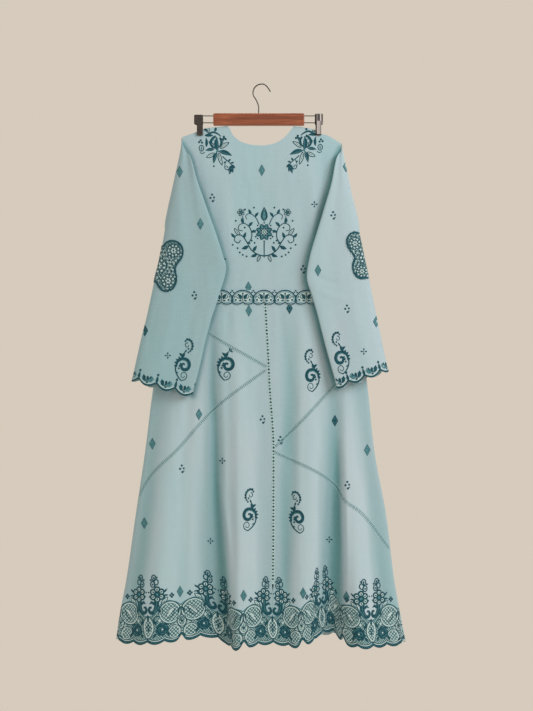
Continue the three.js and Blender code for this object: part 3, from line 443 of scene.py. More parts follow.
class Nodes:
    """A short way to write a material's nodes."""

    def __init__(self, name):
        self.mat = bpy.data.materials.new(name)
        self.mat.use_nodes = True
        self.t = self.mat.node_tree
        self.t.nodes.clear()
        self.out = self.t.nodes.new("ShaderNodeOutputMaterial")
        self.bsdf = self.t.nodes.new("ShaderNodeBsdfPrincipled")
        self.t.links.new(self.bsdf.outputs[0], self.out.inputs[0])

    def node(self, kind, sets=None, **links):
        n = self.t.nodes.new(kind)
        for k, v in (sets or {}).items():
            if hasattr(n, k):
                setattr(n, k, v)
            else:
                n.inputs[k].default_value = v
        for k, v in links.items():
            self.link(v, n.inputs[k.replace("_", " ")])
        return n

    def link(self, a, b):
        self.t.links.new(a if isinstance(a, bpy.types.NodeSocket) else a.outputs[0], b)

    def math(self, op, a, b=None, clamp=False):
        n = self.t.nodes.new("ShaderNodeMath")
        n.operation, n.use_clamp = op, clamp
        for i, v in enumerate((a, b)):
            if v is None:
                continue
            if isinstance(v, (int, float)):
                n.inputs[i].default_value = v
            else:
                self.link(v, n.inputs[i])
        return n

    def mix(self, f, a, b, mode="MIX"):
        n = self.t.nodes.new("ShaderNodeMix")
        n.data_type, n.blend_type = "RGBA", mode
        for sock, v in ((n.inputs[0], f), (n.inputs[6], a), (n.inputs[7], b)):
            if isinstance(v, (int, float)):
                sock.default_value = v
            elif isinstance(v, tuple):
                sock.default_value = v
            else:
                self.link(v, sock)
        return n.outputs[2]

    def ramp(self, fac, stops):
        n = self.t.nodes.new("ShaderNodeValToRGB")
        e = n.color_ramp.elements
        while len(e) < len(stops):
            e.new(0.5)
        for el, (p, v) in zip(e, stops):
            el.position = p
            el.color = v if isinstance(v, tuple) else (v, v, v, 1)
        self.link(fac, n.inputs[0])
        return n

    def waves(self, vector, pitch, direction):
        """Even ripples of that pitch in metres."""
        n = self.node("ShaderNodeTexWave", {"wave_type": "BANDS", "bands_direction": direction, "Scale": 2 * math.pi / 20 / pitch,
                                            "Distortion": 0.0, "Detail": 0.0})
        self.link(vector, n.inputs["Vector"])
        return n.outputs[1]

    def bump(self, height, strength, distance, normal=None):
        n = self.node("ShaderNodeBump", {"Strength": strength, "Distance": distance})
        self.link(height, n.inputs["Height"])
        if normal is not None:
            self.link(normal, n.inputs["Normal"])
        return n.outputs[0]


def woven(m, crush=1.0):
    """Weave and the small crumple of light cotton, as a normal, and a slow noise."""
    uv = m.node("ShaderNodeUVMap", {"uv_map": "weave"}).outputs[0]
    place = m.node("ShaderNodeTexCoord").outputs["Object"]
    warp, weft = m.waves(uv, 0.0011, "X"), m.waves(uv, 0.0012, "Y")
    threads = m.math("MAXIMUM", warp, weft)
    tall = m.node("ShaderNodeMapping", {"Scale": (60, 60, 9)}, Vector=place)
    soft = m.node("ShaderNodeTexNoise", {"Scale": 1.0, "Detail": 4.0, "Roughness": 0.55}, Vector=tall)
    fine = m.node("ShaderNodeTexNoise", {"Scale": 420.0, "Detail": 2.0}, Vector=place)
    n1 = m.bump(soft, 0.5 * crush, 0.0016)
    n2 = m.bump(fine, 0.25, 0.00025, n1)
    return m.bump(threads, 0.3, 0.00022, n2), uv, place, soft, fine, threads


def cloth_material(name, light, shade, print_tone=None):
    m = Nodes(name)
    normal, uv, place, soft, fine, threads = woven(m)
    slub = m.node("ShaderNodeMapping", {"Scale": (30, 1500, 1)}, Vector=uv)
    slubs = m.node("ShaderNodeTexNoise", {"Scale": 1.0, "Detail": 1.0}, Vector=slub)
    slow = m.node("ShaderNodeTexNoise", {"Scale": 5.0, "Detail": 2.0}, Vector=place)
    # painted shade: the per-point shade attribute turns the cloth from its lit tone towards the shade colour in fold
    # troughs, beside the sleeves and on the sleeves
    fold_shade_painted = m.node("ShaderNodeAttribute", {"attribute_name": "shade", "attribute_type": "GEOMETRY"}).outputs["Fac"]
    base = m.mix(fold_shade_painted, light, shade)
    base = m.mix(m.ramp(slow, [(0.35, 0.0), (0.68, 1.0)]), base, m.mix(0.08, base, srgb(110, 196, 204)))
    tall = m.node("ShaderNodeMapping", {"Scale": (9, 9, 1.1)}, Vector=place)
    streaks = m.node("ShaderNodeTexNoise", {"Scale": 1.0, "Detail": 2.5, "Roughness": 0.5}, Vector=tall)
    base = m.mix(m.ramp(streaks, [(0.42, 0.0), (0.66, 1.0)]), base, m.mix(0.16, base, srgb(104, 192, 198)))
    base = m.mix(m.ramp(slubs, [(0.45, 0.0), (0.75, 1.0)]), base, m.mix(0.07, base, (1, 1, 1, 1)))
    base = m.mix(m.ramp(threads, [(0.0, 1.0), (0.5, 0.0)]), base, m.mix(0.10, base, shade))
    m.link(base, m.bsdf.inputs["Base Color"])
    m.link(normal, m.bsdf.inputs["Normal"])
    rough = m.ramp(fine, [(0.3, 0.80), (0.7, 0.92)])
    m.link(rough, m.bsdf.inputs["Roughness"])
    m.bsdf.inputs["Sheen Weight"].default_value = 0.22
    m.bsdf.inputs["Sheen Roughness"].default_value = 0.45
    m.bsdf.inputs["Specular IOR Level"].default_value = 0.22
    return m.mat


def print_material(name, tone, worn):
    m = Nodes(name)
    normal, uv, place, soft, fine, threads = woven(m, 0.8)
    patchy = m.node("ShaderNodeTexNoise", {"Scale": 260.0, "Detail": 3.0, "Roughness": 0.7}, Vector=place)
    base = m.mix(m.ramp(patchy, [(0.42, 0.0), (0.72, 1.0)]), tone, worn)
    base = m.mix(m.ramp(threads, [(0.0, 1.0), (0.5, 0.0)]), base, m.mix(0.3, base, worn))
    m.link(base, m.bsdf.inputs["Base Color"])
    m.link(normal, m.bsdf.inputs["Normal"])
    m.link(m.ramp(fine, [(0.3, 0.72), (0.7, 0.86)]), m.bsdf.inputs["Roughness"])
    m.bsdf.inputs["Sheen Weight"].default_value = 0.12
    m.bsdf.inputs["Specular IOR Level"].default_value = 0.25
    return m.mat


def net_material(name, thread, ground, pitch, share, spots=0.0):
    """Fine net: crossed threads on the cloth's own tone, with round worked spots if asked."""
    m = Nodes(name)
    uv = m.node("ShaderNodeUVMap", {"uv_map": "weave"}).outputs[0]
    place = m.node("ShaderNodeTexCoord").outputs["Object"]
    turn = m.node("ShaderNodeMapping", {"Rotation": (0, 0, math.radians(45))}, Vector=uv)
    a, b = m.waves(turn, pitch, "X"), m.waves(turn, pitch, "Y")
    net = m.math("MAXIMUM", a, b)
    line = m.ramp(net, [(share - 0.12, 0.0), (share + 0.12, 1.0)])
    cloudy = m.node("ShaderNodeTexNoise", {"Scale": 90.0, "Detail": 2.0}, Vector=place)
    line = m.math("MULTIPLY", line, m.ramp(cloudy, [(0.2, 0.72), (0.6, 1.0)]), clamp=True)
    if spots:
        cell = m.node("ShaderNodeTexVoronoi", {"Scale": 1.0 / spots, "Randomness": 0.75}, Vector=uv)
        dot = m.ramp(cell.outputs["Distance"], [(0.2, 1.0), (0.32, 0.0)])
        line = m.math("MAXIMUM", line, dot)
    base = m.mix(line, ground, thread)
    m.link(base, m.bsdf.inputs["Base Color"])
    fine = m.node("ShaderNodeTexNoise", {"Scale": 600.0, "Detail": 2.0}, Vector=place)
    n = m.bump(fine, 0.3, 0.0003)
    m.link(m.bump(line, 0.7, 0.0005, n), m.bsdf.inputs["Normal"])
    m.link(m.ramp(fine, [(0.3, 0.74), (0.7, 0.9)]), m.bsdf.inputs["Roughness"])
    m.bsdf.inputs["Specular IOR Level"].default_value = 0.2
    m.bsdf.inputs["Sheen Weight"].default_value = 0.1
    return m.mat


# the cloth's tone, and the painted shade colour it turns towards where the shade attribute is high
AQUA, AQUA_PAINTED_SHADE = srgb(184, 203, 217), srgb(78, 138, 146)
TEAL, TEAL_WORN = srgb(4, 64, 80), srgb(22, 92, 104)
MID, MID_WORN = srgb(58, 112, 124), srgb(98, 150, 158)
PALE, PALE_WORN = srgb(188, 211, 216), srgb(166, 197, 202)
cloth = cloth_material("cloth_aqua", AQUA, AQUA_PAINTED_SHADE)
ink = [print_material("print_dark", TEAL, TEAL_WORN), print_material("print_mid", MID, MID_WORN),
       print_material("print_pale", PALE, PALE_WORN)]
thread = print_material("seam_thread", srgb(172, 203, 209), srgb(148, 186, 192))
net_fine = net_material("net_fine", srgb(22, 86, 96), srgb(158, 190, 195), 0.0048, 0.72)
net_open = net_material("net_open", srgb(18, 82, 94), srgb(172, 202, 207), 0.0066, 0.75)
lace_net = net_material("lace_net", srgb(36, 84, 94), srgb(126, 156, 164), 0.0060, 0.69)


def wood_material():
    m = Nodes("varnished_wood")
    place = m.node("ShaderNodeTexCoord").outputs["Object"]
    long = m.node("ShaderNodeMapping", {"Scale": (7, 90, 110)}, Vector=place)
    bend = m.node("ShaderNodeTexNoise", {"Scale": 1.0, "Detail": 5.0, "Roughness": 0.6, "Distortion": 0.7}, Vector=long)
    fibre = m.node("ShaderNodeMapping", {"Scale": (22, 700, 700)}, Vector=place)
    fibres = m.node("ShaderNodeTexNoise", {"Scale": 1.0, "Detail": 3.0}, Vector=fibre)
    base = m.ramp(bend, [(0.28, srgb(104, 48, 24)), (0.5, srgb(146, 74, 42)), (0.72, srgb(176, 102, 64))]).outputs[0]
    base = m.mix(m.ramp(fibres, [(0.42, 1.0), (0.6, 0.0)]), base, m.mix(0.35, base, srgb(84, 34, 14)))
    m.link(base, m.bsdf.inputs["Base Color"])
    n = m.bump(fibres, 0.25, 0.0002)
    m.link(m.bump(bend, 0.12, 0.0004, n), m.bsdf.inputs["Normal"])
    m.link(m.ramp(fibres, [(0.3, 0.34), (0.7, 0.5)]), m.bsdf.inputs["Roughness"])
    m.bsdf.inputs["Coat Weight"].default_value = 0.35
    m.bsdf.inputs["Coat Roughness"].default_value = 0.22
    return m.mat


def metal_material(name, tone, dull, low, high):
    m = Nodes(name)
    place = m.node("ShaderNodeTexCoord").outputs["Object"]
    streak = m.node("ShaderNodeMapping", {"Scale": (900, 900, 120)}, Vector=place)
    brushed = m.node("ShaderNodeTexNoise", {"Scale": 1.0, "Detail": 3.0}, Vector=streak)
    spots = m.node("ShaderNodeTexNoise", {"Scale": 140.0, "Detail": 4.0, "Roughness": 0.7}, Vector=place)
    base = m.mix(m.ramp(spots, [(0.5, 0.0), (0.75, 1.0)]), tone, dull)
    m.link(base, m.bsdf.inputs["Base Color"])
    m.bsdf.inputs["Metallic"].default_value = 1.0
    m.link(m.ramp(brushed, [(0.3, low), (0.7, high)]), m.bsdf.inputs["Roughness"])
    m.link(m.bump(brushed, 0.1, 0.0001), m.bsdf.inputs["Normal"])
    return m.mat


def rubber_material():
    m = Nodes("grip_rubber")
    place = m.node("ShaderNodeTexCoord").outputs["Object"]
    grain = m.node("ShaderNodeTexNoise", {"Scale": 1500.0, "Detail": 2.0}, Vector=place)
    ribs = m.waves(place, 0.0022, "Z")
    m.link(m.mix(m.ramp(grain, [(0.3, 0.0), (0.7, 1.0)]), srgb(40, 34, 32), srgb(62, 54, 50)), m.bsdf.inputs["Base Color"])
    m.link(m.bump(ribs, 0.4, 0.0004, m.bump(grain, 0.3, 0.0001)), m.bsdf.inputs["Normal"])
    m.link(m.ramp(grain, [(0.3, 0.6), (0.7, 0.85)]), m.bsdf.inputs["Roughness"])
    return m.mat


# ---- cloth panels ----------------------------------------------------------------
def spread(n, edge=(0, 0.0015, 0.005, 0.011, 0.02), both=True):
    """Shares from 0 to 1, close together at the ends."""
    mid = np.linspace(0.032, 0.968 if both else 1, n)
    return np.concatenate([edge, mid, [1 - e for e in reversed(edge)]] if both else [edge, mid])


def shade_of(x, z, front):
    """Painted shade by how deep a point lies in a fold: 0 on a ridge, 1 in the deepest trough; ridges are painted
    lighter than flat cloth and the sides a little darker.
    """
    here = np.abs(body_y(x, z, front))
    xl, xr = pchip(BODY, z, 0, 1) + 30, pchip(BODY, z, 0, 2) - 30

    def dips(e):
        return np.mean([np.abs(body_y(np.clip(x + dx, xl, xr), z, front)) for dx in (-2 * e, -e, e, 2 * e)], axis=0) - here

    near = np.clip(dips(13.0) / 14.0, 0, 1)
    wide = np.clip(dips(34.0) / 13.0, -0.5, 1)
    side = np.clip(np.minimum(x - xl, xr - x) / 40.0 + 0.75, 0, 1)
    dark = 0.25 + side * (0.31 * wide + 0.33 * near * near * (3 - 2 * near)) + 0.08 * (1 - side)
    if front:
        # painted shadow: a narrow dark band on the body along each sleeve's inner edge, where the sleeve shades the
        # cloth
        for arm, high, reach in (("left", 0.7, 11.0), ("right", 0.92, 13.0)):
            line = spline([(S[arm][0], S[arm][1] - 16)] + [(r[3], r[5]) for r in SLEEVES[arm]], 60)
            best = np.full(np.shape(x), 1e9)
            for a, b in zip(line[:-1], line[1:]):
                ab = b - a
                t = np.clip(((x - a[0]) * ab[0] + (z - a[1]) * ab[1]) / (ab @ ab), 0, 1)
                best = np.minimum(best, np.hypot(x - a[0] - t * ab[0], z - a[1] - t * ab[1]))
            dark = np.maximum(dark, high * np.exp(-((best / reach) ** 2)))
    return np.clip(dark, 0, 1)


def panel(name, x, z, front, mats=None):
    g = np.stack([x, body_y(x, z, front), z], -1)
    n = grid_normals(g)
    want = -1 if front else 1
    n = np.where((n[..., 1:2] * want) < 0, -n, n)
    inner = g - n * CLOTH
    inner[..., 1] = np.minimum(inner[..., 1], -SEAM) if front else np.maximum(inner[..., 1], SEAM)
    shade = shade_of(x, z, front)
    return g, wall(name, g, inner, mats or [cloth], shade=shade)


S = {"left": SHOULDER[0], "right": SHOULDER[-1]}
waist = WAIST_Z + SEAM


def bodice_edge(side, z):
    sx, sz = S[side]
    uz = lerp(sz, waist, ARM_ROW)
    col = 1 if side == "left" else 2
    t = np.clip((sz - z) / (sz - uz), 0, 1)
    ue = float(pchip(BODY, uz, 0, col))
    return np.where(z < uz, pchip(BODY, z, 0, col), lerp(sx, ue, t) - np.sign(sx) * ARM_IN * np.sin(np.pi * t))


def bodice(front, cols, rows):
    c, v = np.meshgrid(cols, rows)
    x_top = lerp(S["left"][0], S["right"][0], c)
    in_neck = (x_top >= NECK[0][0]) & (x_top <= NECK[-1][0])
    z_top = np.where(in_neck, pchip(NECK, x_top) - (0 if front else 1.5), pchip(SHOULDER, x_top))
    zl, zr = lerp(S["left"][1], waist, v), lerp(S["right"][1], waist, v)
    x = lerp(bodice_edge("left", zl), bodice_edge("right", zr), c)
    z = lerp(z_top, waist, v)
    return x, z


top_rows = np.concatenate([[0, 0.002, 0.006, 0.012, 0.02], np.linspace(0.03, 1, 118)])
neck_cols = [(NECK[0][0] - S["left"][0]) / (S["right"][0] - S["left"][0]), (NECK[-1][0] - S["left"][0]) / (S["right"][0] - S["left"][0])]
body_cols = np.unique(np.round(np.concatenate([spread(132), neck_cols, [neck_cols[0] + 0.004, neck_cols[1] - 0.004]]), 5))
FRONT, BACK, PIECES = {}, {}, {}
x, z = bodice(True, body_cols, top_rows)
FRONT["bodice_front"], PIECES["bodice_front"] = panel("cloth_bodice_front", x, z, True)
x, z = bodice(False, spread(96), np.concatenate([[0, 0.002, 0.006, 0.012, 0.02], np.linspace(0.03, 1, 84)]))
BACK["bodice_back"], PIECES["bodice_back"] = panel("cloth_bodice_back", x, z, False)

SLANT = 0.2                     # half width of the slanting openwork seams


def centre_x(z):
    return pchip(CENTRE_SEAM, z)


def centre_gap(z):
    """Half width of the centre seam: open to the border, plain through it."""
    t = np.clip((z + 1312) / 22, 0, 1)
    return lerp(SEAM, 2.4, t * t * (3 - 2 * t))


def column_x(half, c, z):
    if half == "left":
        return lerp(pchip(BODY, z, 0, 1), centre_x(z) - centre_gap(z), c)
    return lerp(centre_x(z) + centre_gap(z), pchip(BODY, z, 0, 2), c)


def crossing(half, c, rows):
    z = np.full(np.shape(c), float(rows[0][1]))
    for _ in range(50):
        z = lerp(z, pchip(rows, column_x(half, c, z)), 0.7)
    return z


# arc length of the hem, so that the border's repeats follow the folds
arc = {}
for key, front in (("front", True), ("back", False)):
    ax = np.linspace(float(pchip(BODY, HEM_Z, 0, 1)), float(pchip(BODY, HEM_Z, 0, 2)), 1500)
    ay = body_y(ax, np.full_like(ax, -1405.0), front)
    arc[key] = (ax, np.concatenate([[0], np.cumsum(np.hypot(np.diff(ax), np.diff(ay)))]))


def hem_place(px):
    """x at the hem of a picture column, with the cloth's own depth there."""
    x0 = (px - MID_X) * PX
    x = x0
    for _ in range(6):
        y = float(body_y(np.array([x]), np.array([-1405.0]), True)[0])
        x = EYE[0] + (x0 - EYE[0]) * (1 + y / 3000)
    return x


def repeats(side):
    """Arc lengths at which the border's repeats begin and end, round one half."""
    ax, al = arc[side]
    if side == "front":
        xs = [hem_place(p) for p in REPEAT_PX]
        s = list(np.interp(xs, ax, al))
        step = REPEAT_W * PX
        first, last = (float(np.interp(hem_place(p), ax, al)) for p in END_MIDDLES)
        s[0], s[-1] = 2 * first - s[1], 2 * last - s[-2]
        return [s[0] - step] + s + [s[-1] + step]
    n = 5
    return list(np.linspace(-8, al[-1] + 8, n + 1))


REPEATS = {k: repeats(k) for k in ("front", "back")}


def scallops(x, side):
    """How far the hem's edge is cut up at x: four scallops to a repeat, a notch between repeats."""
    ax, al = arc[side]
    s = np.interp(x, ax, al)
    b = REPEATS[side]
    k = np.clip(np.searchsorted(b, s, side="right") - 1, 0, len(b) - 2)
    b0, b1 = np.array(b)[k], np.array(b)[k + 1]
    t = (s - b0) / (b1 - b0)
    near = np.minimum(t, 1 - t) * (b1 - b0)
    notch = 10 * np.exp(-((near / 8.0) ** 2))
    cut = 7.5 * (1 - np.abs(np.sin(4 * np.pi * t)) ** 0.8)
    if side == "back":
        return cut + notch
    # at the dress's own edges the last scallop turns up instead
    inside = np.minimum(s - b[1], b[-2] - s)
    return np.where(inside > 0, cut + notch * np.clip(inside / 24.0, 0, 1), 7.5 - 0.8 * inside)


HALF_COLS = {
    "left": {"upper": 54, "middle": 82, "lower": 128},
    "right": {"upper": 74, "middle": 74, "lower": 122},
}
ROWS = {"left": {"upper": 46, "middle": 84, "lower": 104}, "right": {"upper": 104, "middle": 66, "lower": 92}}
for half in ("left", "right"):
    for part, (up, low) in {"upper": (None, "Upper"), "middle": ("Upper", "Lower"), "lower": ("Lower", None)}.items():
        c = spread(HALF_COLS[half][part], edge=(0, 0.003, 0.009, 0.018))
        gap = 1.35 * SLANT
        z0 = np.full_like(c, WAIST_Z - SEAM) if up is None else crossing(half, c, SEAMS[half + up]) - gap
        if low is None:
            z1 = np.full_like(c, -1440.0)
            for _ in range(12):
                xe = column_x(half, c, z1)
                z1 = pchip(HEM_FRONT, xe) + scallops(xe, "front")
        else:
            z1 = crossing(half, c, SEAMS[half + low]) + gap
        t = np.linspace(0, 1, ROWS[half][part])[:, None]
        z = z0 + (z1 - z0) * t
        x = column_x(half, np.broadcast_to(c, z.shape), z)
        node = f"skirt_front_{half}_{part}"
        FRONT[node], PIECES[node] = panel("cloth_" + node, x, z, True)
c = spread(150)
xh = lerp(-376.7, 372.6, c)
z1 = pchip(HEM_BACK, xh) + scallops(xh, "back")
t = np.linspace(0, 1, 118)[:, None]
z = (WAIST_Z - SEAM) + (z1 - (WAIST_Z - SEAM)) * t
x = lerp(pchip(BODY, z, 0, 1), pchip(BODY, z, 0, 2), np.broadcast_to(c, z.shape))
BACK["skirt_back"], PIECES["skirt_back"] = panel("cloth_skirt_back", x, z, False)

# waistband: a ring over the waist seam, its two edges scalloped under the printed arches
ARCH = 54.6                     # width of one arch
ARCH_X0 = (222 - MID_X) * PX    # middle of one arch


def band_ring(t, out):
    """Points of the band at share t of its height, round the body."""
    n = 190
    cols = 0.5 - 0.5 * np.cos(np.pi * np.linspace(0.02, 0.98, n))
    cols = 0.55 * cols + 0.45 * np.linspace(0.02, 0.98, n)
    pts = []
    for front in (True, False):
        zc = lerp(BAND["top"], BAND["bottom"], t)
        xl, xr = float(pchip(BODY, zc, 0, 1)), float(pchip(BODY, zc, 0, 2))
        x = lerp(xl, xr, cols)
        ph = np.pi * (x - ARCH_X0) / ARCH
        up = 2.0 * np.abs(np.cos(ph)) - 2.0
        low = 5.5 * (1 - np.abs(np.sin(2 * ph))) - 1.5
        z = zc + lerp(up, low, t)
        e = 1.5
        y = body_y(x, z, front)
        fx = (body_y(x + e, z, front) - body_y(x - e, z, front)) / (2 * e)
        nrm = unit(np.stack([fx, -np.ones_like(fx), np.zeros_like(fx)], -1)) * (1 if front else -1)
        p = np.stack([x, y, z], -1) + nrm * out
        pts.append(p if front else p[::-1])
        side = xr if front else xl
        pts.append(np.array([[side + (out + 0.5) * (1 if front else -1), 0, zc]]))
    return np.concatenate(pts)


levels = np.linspace(0, 1, 9)
band_out = np.stack([band_ring(t, BAND["gap"] + BAND["wall"]) for t in levels])
band_in = np.stack([band_ring(t, BAND["gap"]) for t in levels])
PIECES["waistband"] = wall("cloth_waistband", band_out, band_in, [cloth], wrap=True, shade=np.full(band_out.shape[:2], 0.2))


# ---- sleeves -----------------------------------------------------------------------
def sleeve_controls(row):
    o, c, i, m = (np.array(row[k:k + 3], float) for k in (0, 3, 6, 9))
    f, low = row[12], row[13:]

    def mix(a, b, t, y):
        return np.array([lerp(a[0], b[0], t), y, lerp(a[2], b[2], t)])

    oy, cy, iy, my = o[1], c[1], i[1], m[1]
    return np.array([
        o, mix(o, c, 0.07, lerp(oy, f, 0.55)), mix(o, c, 0.3, f), mix(o, c, 0.65, f), mix(o, c, 0.95, cy - 2),
        mix(c, c, 0, cy + 1), mix(c, i, 0.08, cy + 4.5), mix(c, i, 0.5, lerp(cy + 4.5, iy, 0.55)), i,
        np.array(low, float) if len(low) else mix(i, m, 0.25, lerp(iy, my, 0.25) + 1),
        m, mix(m, o, 0.6, lerp(my, oy + 4, 0.6)), mix(m, o, 0.93, oy + 3.5),
    ])


def closed_curve(p):
    """The closed curve through the controls, with the set number of points between them."""
    n, out = len(p), []
    for k, steps in enumerate(RING_STEPS):
        p0, p1, p2, p3 = p[k - 1], p[k], p[(k + 1) % n], p[(k + 2) % n]
        d0, d1, d2 = (max(np.linalg.norm(b - a) ** 0.5, 1e-4) for a, b in ((p0, p1), (p1, p2), (p2, p3)))
        t1 = ((p1 - p0) / d0 - (p2 - p0) / (d0 + d1) + (p2 - p1) / d1) * d1
        t2 = ((p2 - p1) / d1 - (p3 - p1) / (d1 + d2) + (p3 - p2) / d2) * d1
        for s in range(steps):
            t = s / steps
            out.append(p1 * (2 * t ** 3 - 3 * t * t + 1) + t1 * (t ** 3 - 2 * t * t + t)
                       + p2 * (3 * t * t - 2 * t ** 3) + t2 * (t ** 3 - t * t))
    return np.array(out)


def armhole_ring(side):
    sz = S[side][1]
    uz = lerp(sz, waist, ARM_ROW)
    out = -1.6 if side == "left" else 1.6
    shares = [*ARM_FRONT, *ARM_BACK, 0]
    pts = []
    for k, steps in enumerate(RING_STEPS):
        front = k < len(ARM_FRONT) - 1
        for s in range(steps):
            t = lerp(shares[k], shares[k + 1], s / steps)
            z = lerp(sz, uz, t)
            x = float(bodice_edge(side, np.array(z)))
            y = 0.0 if t == 0 else float(body_y(x - 3 * np.sign(out), z, front)) + (-0.3 if front else 0.3)
            pts.append([x + out, y, z])
    return np.array(pts)


def rows_of(rings, counts):
    """Rings between the given ones, on smooth lines along the sleeve."""
    r = np.array(rings)
    n = len(r)
    m = np.empty_like(r)
    h = np.linalg.norm(np.diff(r.mean(axis=1), axis=0), axis=1)
    s = np.concatenate([[0], np.cumsum(h)])
    m[1:-1] = (r[2:] - r[:-2]) / (s[2:] - s[:-2])[:, None, None]
    m[0], m[-1] = (r[1] - r[0]) / h[0], (r[-1] - r[-2]) / h[-1]
    out = []
    for k in range(n - 1):
        for q in range(counts[k]):
            t = q / counts[k]
            out.append(r[k] * (1 + 2 * t) * (1 - t) ** 2 + r[k + 1] * t * t * (3 - 2 * t)
                       + h[k] * (m[k] * t * (1 - t) ** 2 - m[k + 1] * t * t * (1 - t)))
    return np.array(out + [r[-1]])


def sleeve_grid(side):
    rings = [armhole_ring(side)] + [closed_curve(sleeve_controls(r)) for r in SLEEVES[side]]
    g = rows_of(rings, [14, 14, 14, 16, 14, 10, 12, 12, 12, 12, 14])
    sign = -1 if side == "left" else 1
    n = grid_normals(g, wrap=True)
    if (n[:, 30, 1] > 0).mean() > 0.5:
        n = -n
    # creases on the face that shows, and softer ones on the back
    lift = creases(g[..., 0], g[..., 2], SLEEVE_CREASES[side])
    lift = lift * np.clip(-n[..., 1] * 1.4, -0.5, 1) + 0.8 * crinkle(g[..., 0], g[..., 2] + 900, 7 if side == "left" else 8)
    ramp = np.clip(np.arange(len(g)) / 10.0, 0, 1)[:, None]
    g = g + n * (lift * ramp)[..., None]
    # scalloped cuff
    edge = g[-1]
    s = np.concatenate([[0], np.cumsum(np.linalg.norm(np.diff(edge, axis=0), axis=1))])
    total = s[-1] + np.linalg.norm(edge[0] - edge[-1])
    cf = CUFF[side]
    count = round(total / cf["pitch"])
    pitch = total / count
    wave = np.abs(np.sin(np.pi * (s - cf["first"]) / pitch)) ** 0.85
    tail = 22
    fade = (np.arange(tail) / (tail - 1.0))[:, None] ** 1.5
    along = unit(g[-1] - g[-tail])
    g[-tail:] += (fade * (cf["deep"] * (wave - 0.62)))[..., None] * along[None]
    n = grid_normals(g, wrap=True)
    if (n[:, 30, 1] > 0).mean() > 0.5:
        n = -n
    return g, n, s, pitch


SLEEVE = {}
for side in ("left", "right"):
    g, n, s, pitch = sleeve_grid(side)
    SLEEVE[side] = dict(g=g, n=n, s=s, pitch=pitch)
    # painted shade: the left sleeve, on the side away from the key light, is painted darker than the right
    dark = np.full(g.shape[:2], 0.46 if side == "left" else 0.2)
    # painted shade on the folded part behind the crease, where it lies in its own shade
    k0 = sum(RING_STEPS[:5])
    dark[:, k0:k0 + sum(RING_STEPS[5:8])] = 0.55
    PIECES["sleeve_" + side] = wall("cloth_sleeve_" + side, g, g - n * 0.9, [cloth], wrap=True, shade=dark)

# ---- prints and trims ------------------------------------------------------------------
DARK, MIDT, LIGHT, NET, FINE, THREAD = range(6)
LIFT = [0.52, 0.44, 0.36, 0.28, 0.20, 0.36]
LOOKS = [*ink, net_open, net_fine, thread]


def from_eye(tree):
    """Drops picture places onto cloth along the sight line."""
    def drop(p):
        x, z = plane(p[:, 0], p[:, 1])
        pts, nrm, ok = np.zeros((len(p), 3)), np.zeros((len(p), 3)), np.zeros(len(p), bool)
        e = Vector(EYE)
        for i in range(len(p)):
            d = Vector((x[i] - EYE[0], -EYE[1], z[i] - EYE[2])).normalized()
            hit = tree.ray_cast(e, d)
            if hit[0] is not None:
                pts[i], nrm[i], ok[i] = hit[0], hit[1], True
        nrm[nrm[:, 1] > 0] *= -1
        return pts, nrm, ok
    return drop


def straight(tree, front):
    """Drops places of the plane y = 0 onto cloth straight from the front or the back."""
    sign = -1 if front else 1

    def drop(p):
        x, z = plane(p[:, 0], p[:, 1])
        pts, nrm, ok = np.zeros((len(p), 3)), np.zeros((len(p), 3)), np.zeros(len(p), bool)
        for i in range(len(p)):
            hit = tree.ray_cast(Vector((x[i], sign * 900.0, z[i])), Vector((0, -sign, 0)))
            if hit[0] is not None:
                pts[i], nrm[i], ok[i] = hit[0], hit[1], True
        nrm[nrm[:, 1] * sign < 0] *= -1
        return pts, nrm, ok
    return drop


def on_body(x, z, front, out=0.0, inside=2.0):
    """Points of the body's cloth at x, z with the outward direction there."""
    e = 1.2
    y = body_y(x, z, front)
    fx = (body_y(x + e, z, front) - body_y(x - e, z, front)) / (2 * e)
    fz = (body_y(x, z + e, front) - body_y(x, z - e, front)) / (2 * e)
    n = unit(np.stack([fx, -np.ones_like(fx), fz], -1)) * (1 if front else -1)
    p = np.stack([x, y, z], -1) + n * out
    ok = (x > pchip(BODY, z, 0, 1) + inside) & (x < pchip(BODY, z, 0, 2) - inside)
    return p, n, ok


def on_band(front):
    """p: pixels from the middle of arch 0 along the band, and down from its top."""
    def drop(p):
        x, z = ARCH_X0 + p[:, 0] * PX, BAND["top"] - p[:, 1] * PX
        return on_body(x, z, front, out=BAND["gap"] + BAND["wall"], inside=5.0)
    return drop


def on_hem(side, k):
    """p: pixels from the middle of repeat k along the hem, and up from the hem line."""
    ax, al = arc[side]
    s0, s1 = REPEATS[side][k], REPEATS[side][k + 1]
    xl0, xr0 = ax[0], ax[-1]

    def drop(p):
        s = lerp(s0, s1, (p[:, 0] + REPEAT_W / 2) / REPEAT_W)
        xh = np.interp(s, al, ax)
        c = (xh - xl0) / (xr0 - xl0)
        z = pchip(HEM_FRONT if side == "front" else HEM_BACK, xh) + p[:, 1] * PX
        x = lerp(pchip(BODY, z, 0, 1), pchip(BODY, z, 0, 2), c)
        if side == "front":  # the grain leans outward over the side folds
            x = x + np.interp(c, *LEAN) * np.maximum(p[:, 1] - 14, 0) * PX
        pts, n, ok = on_body(x, z, side == "front", inside=0.6)
        return pts, n, ok & (s > al[0] + 0.5) & (s < al[-1] - 0.5)
    return drop


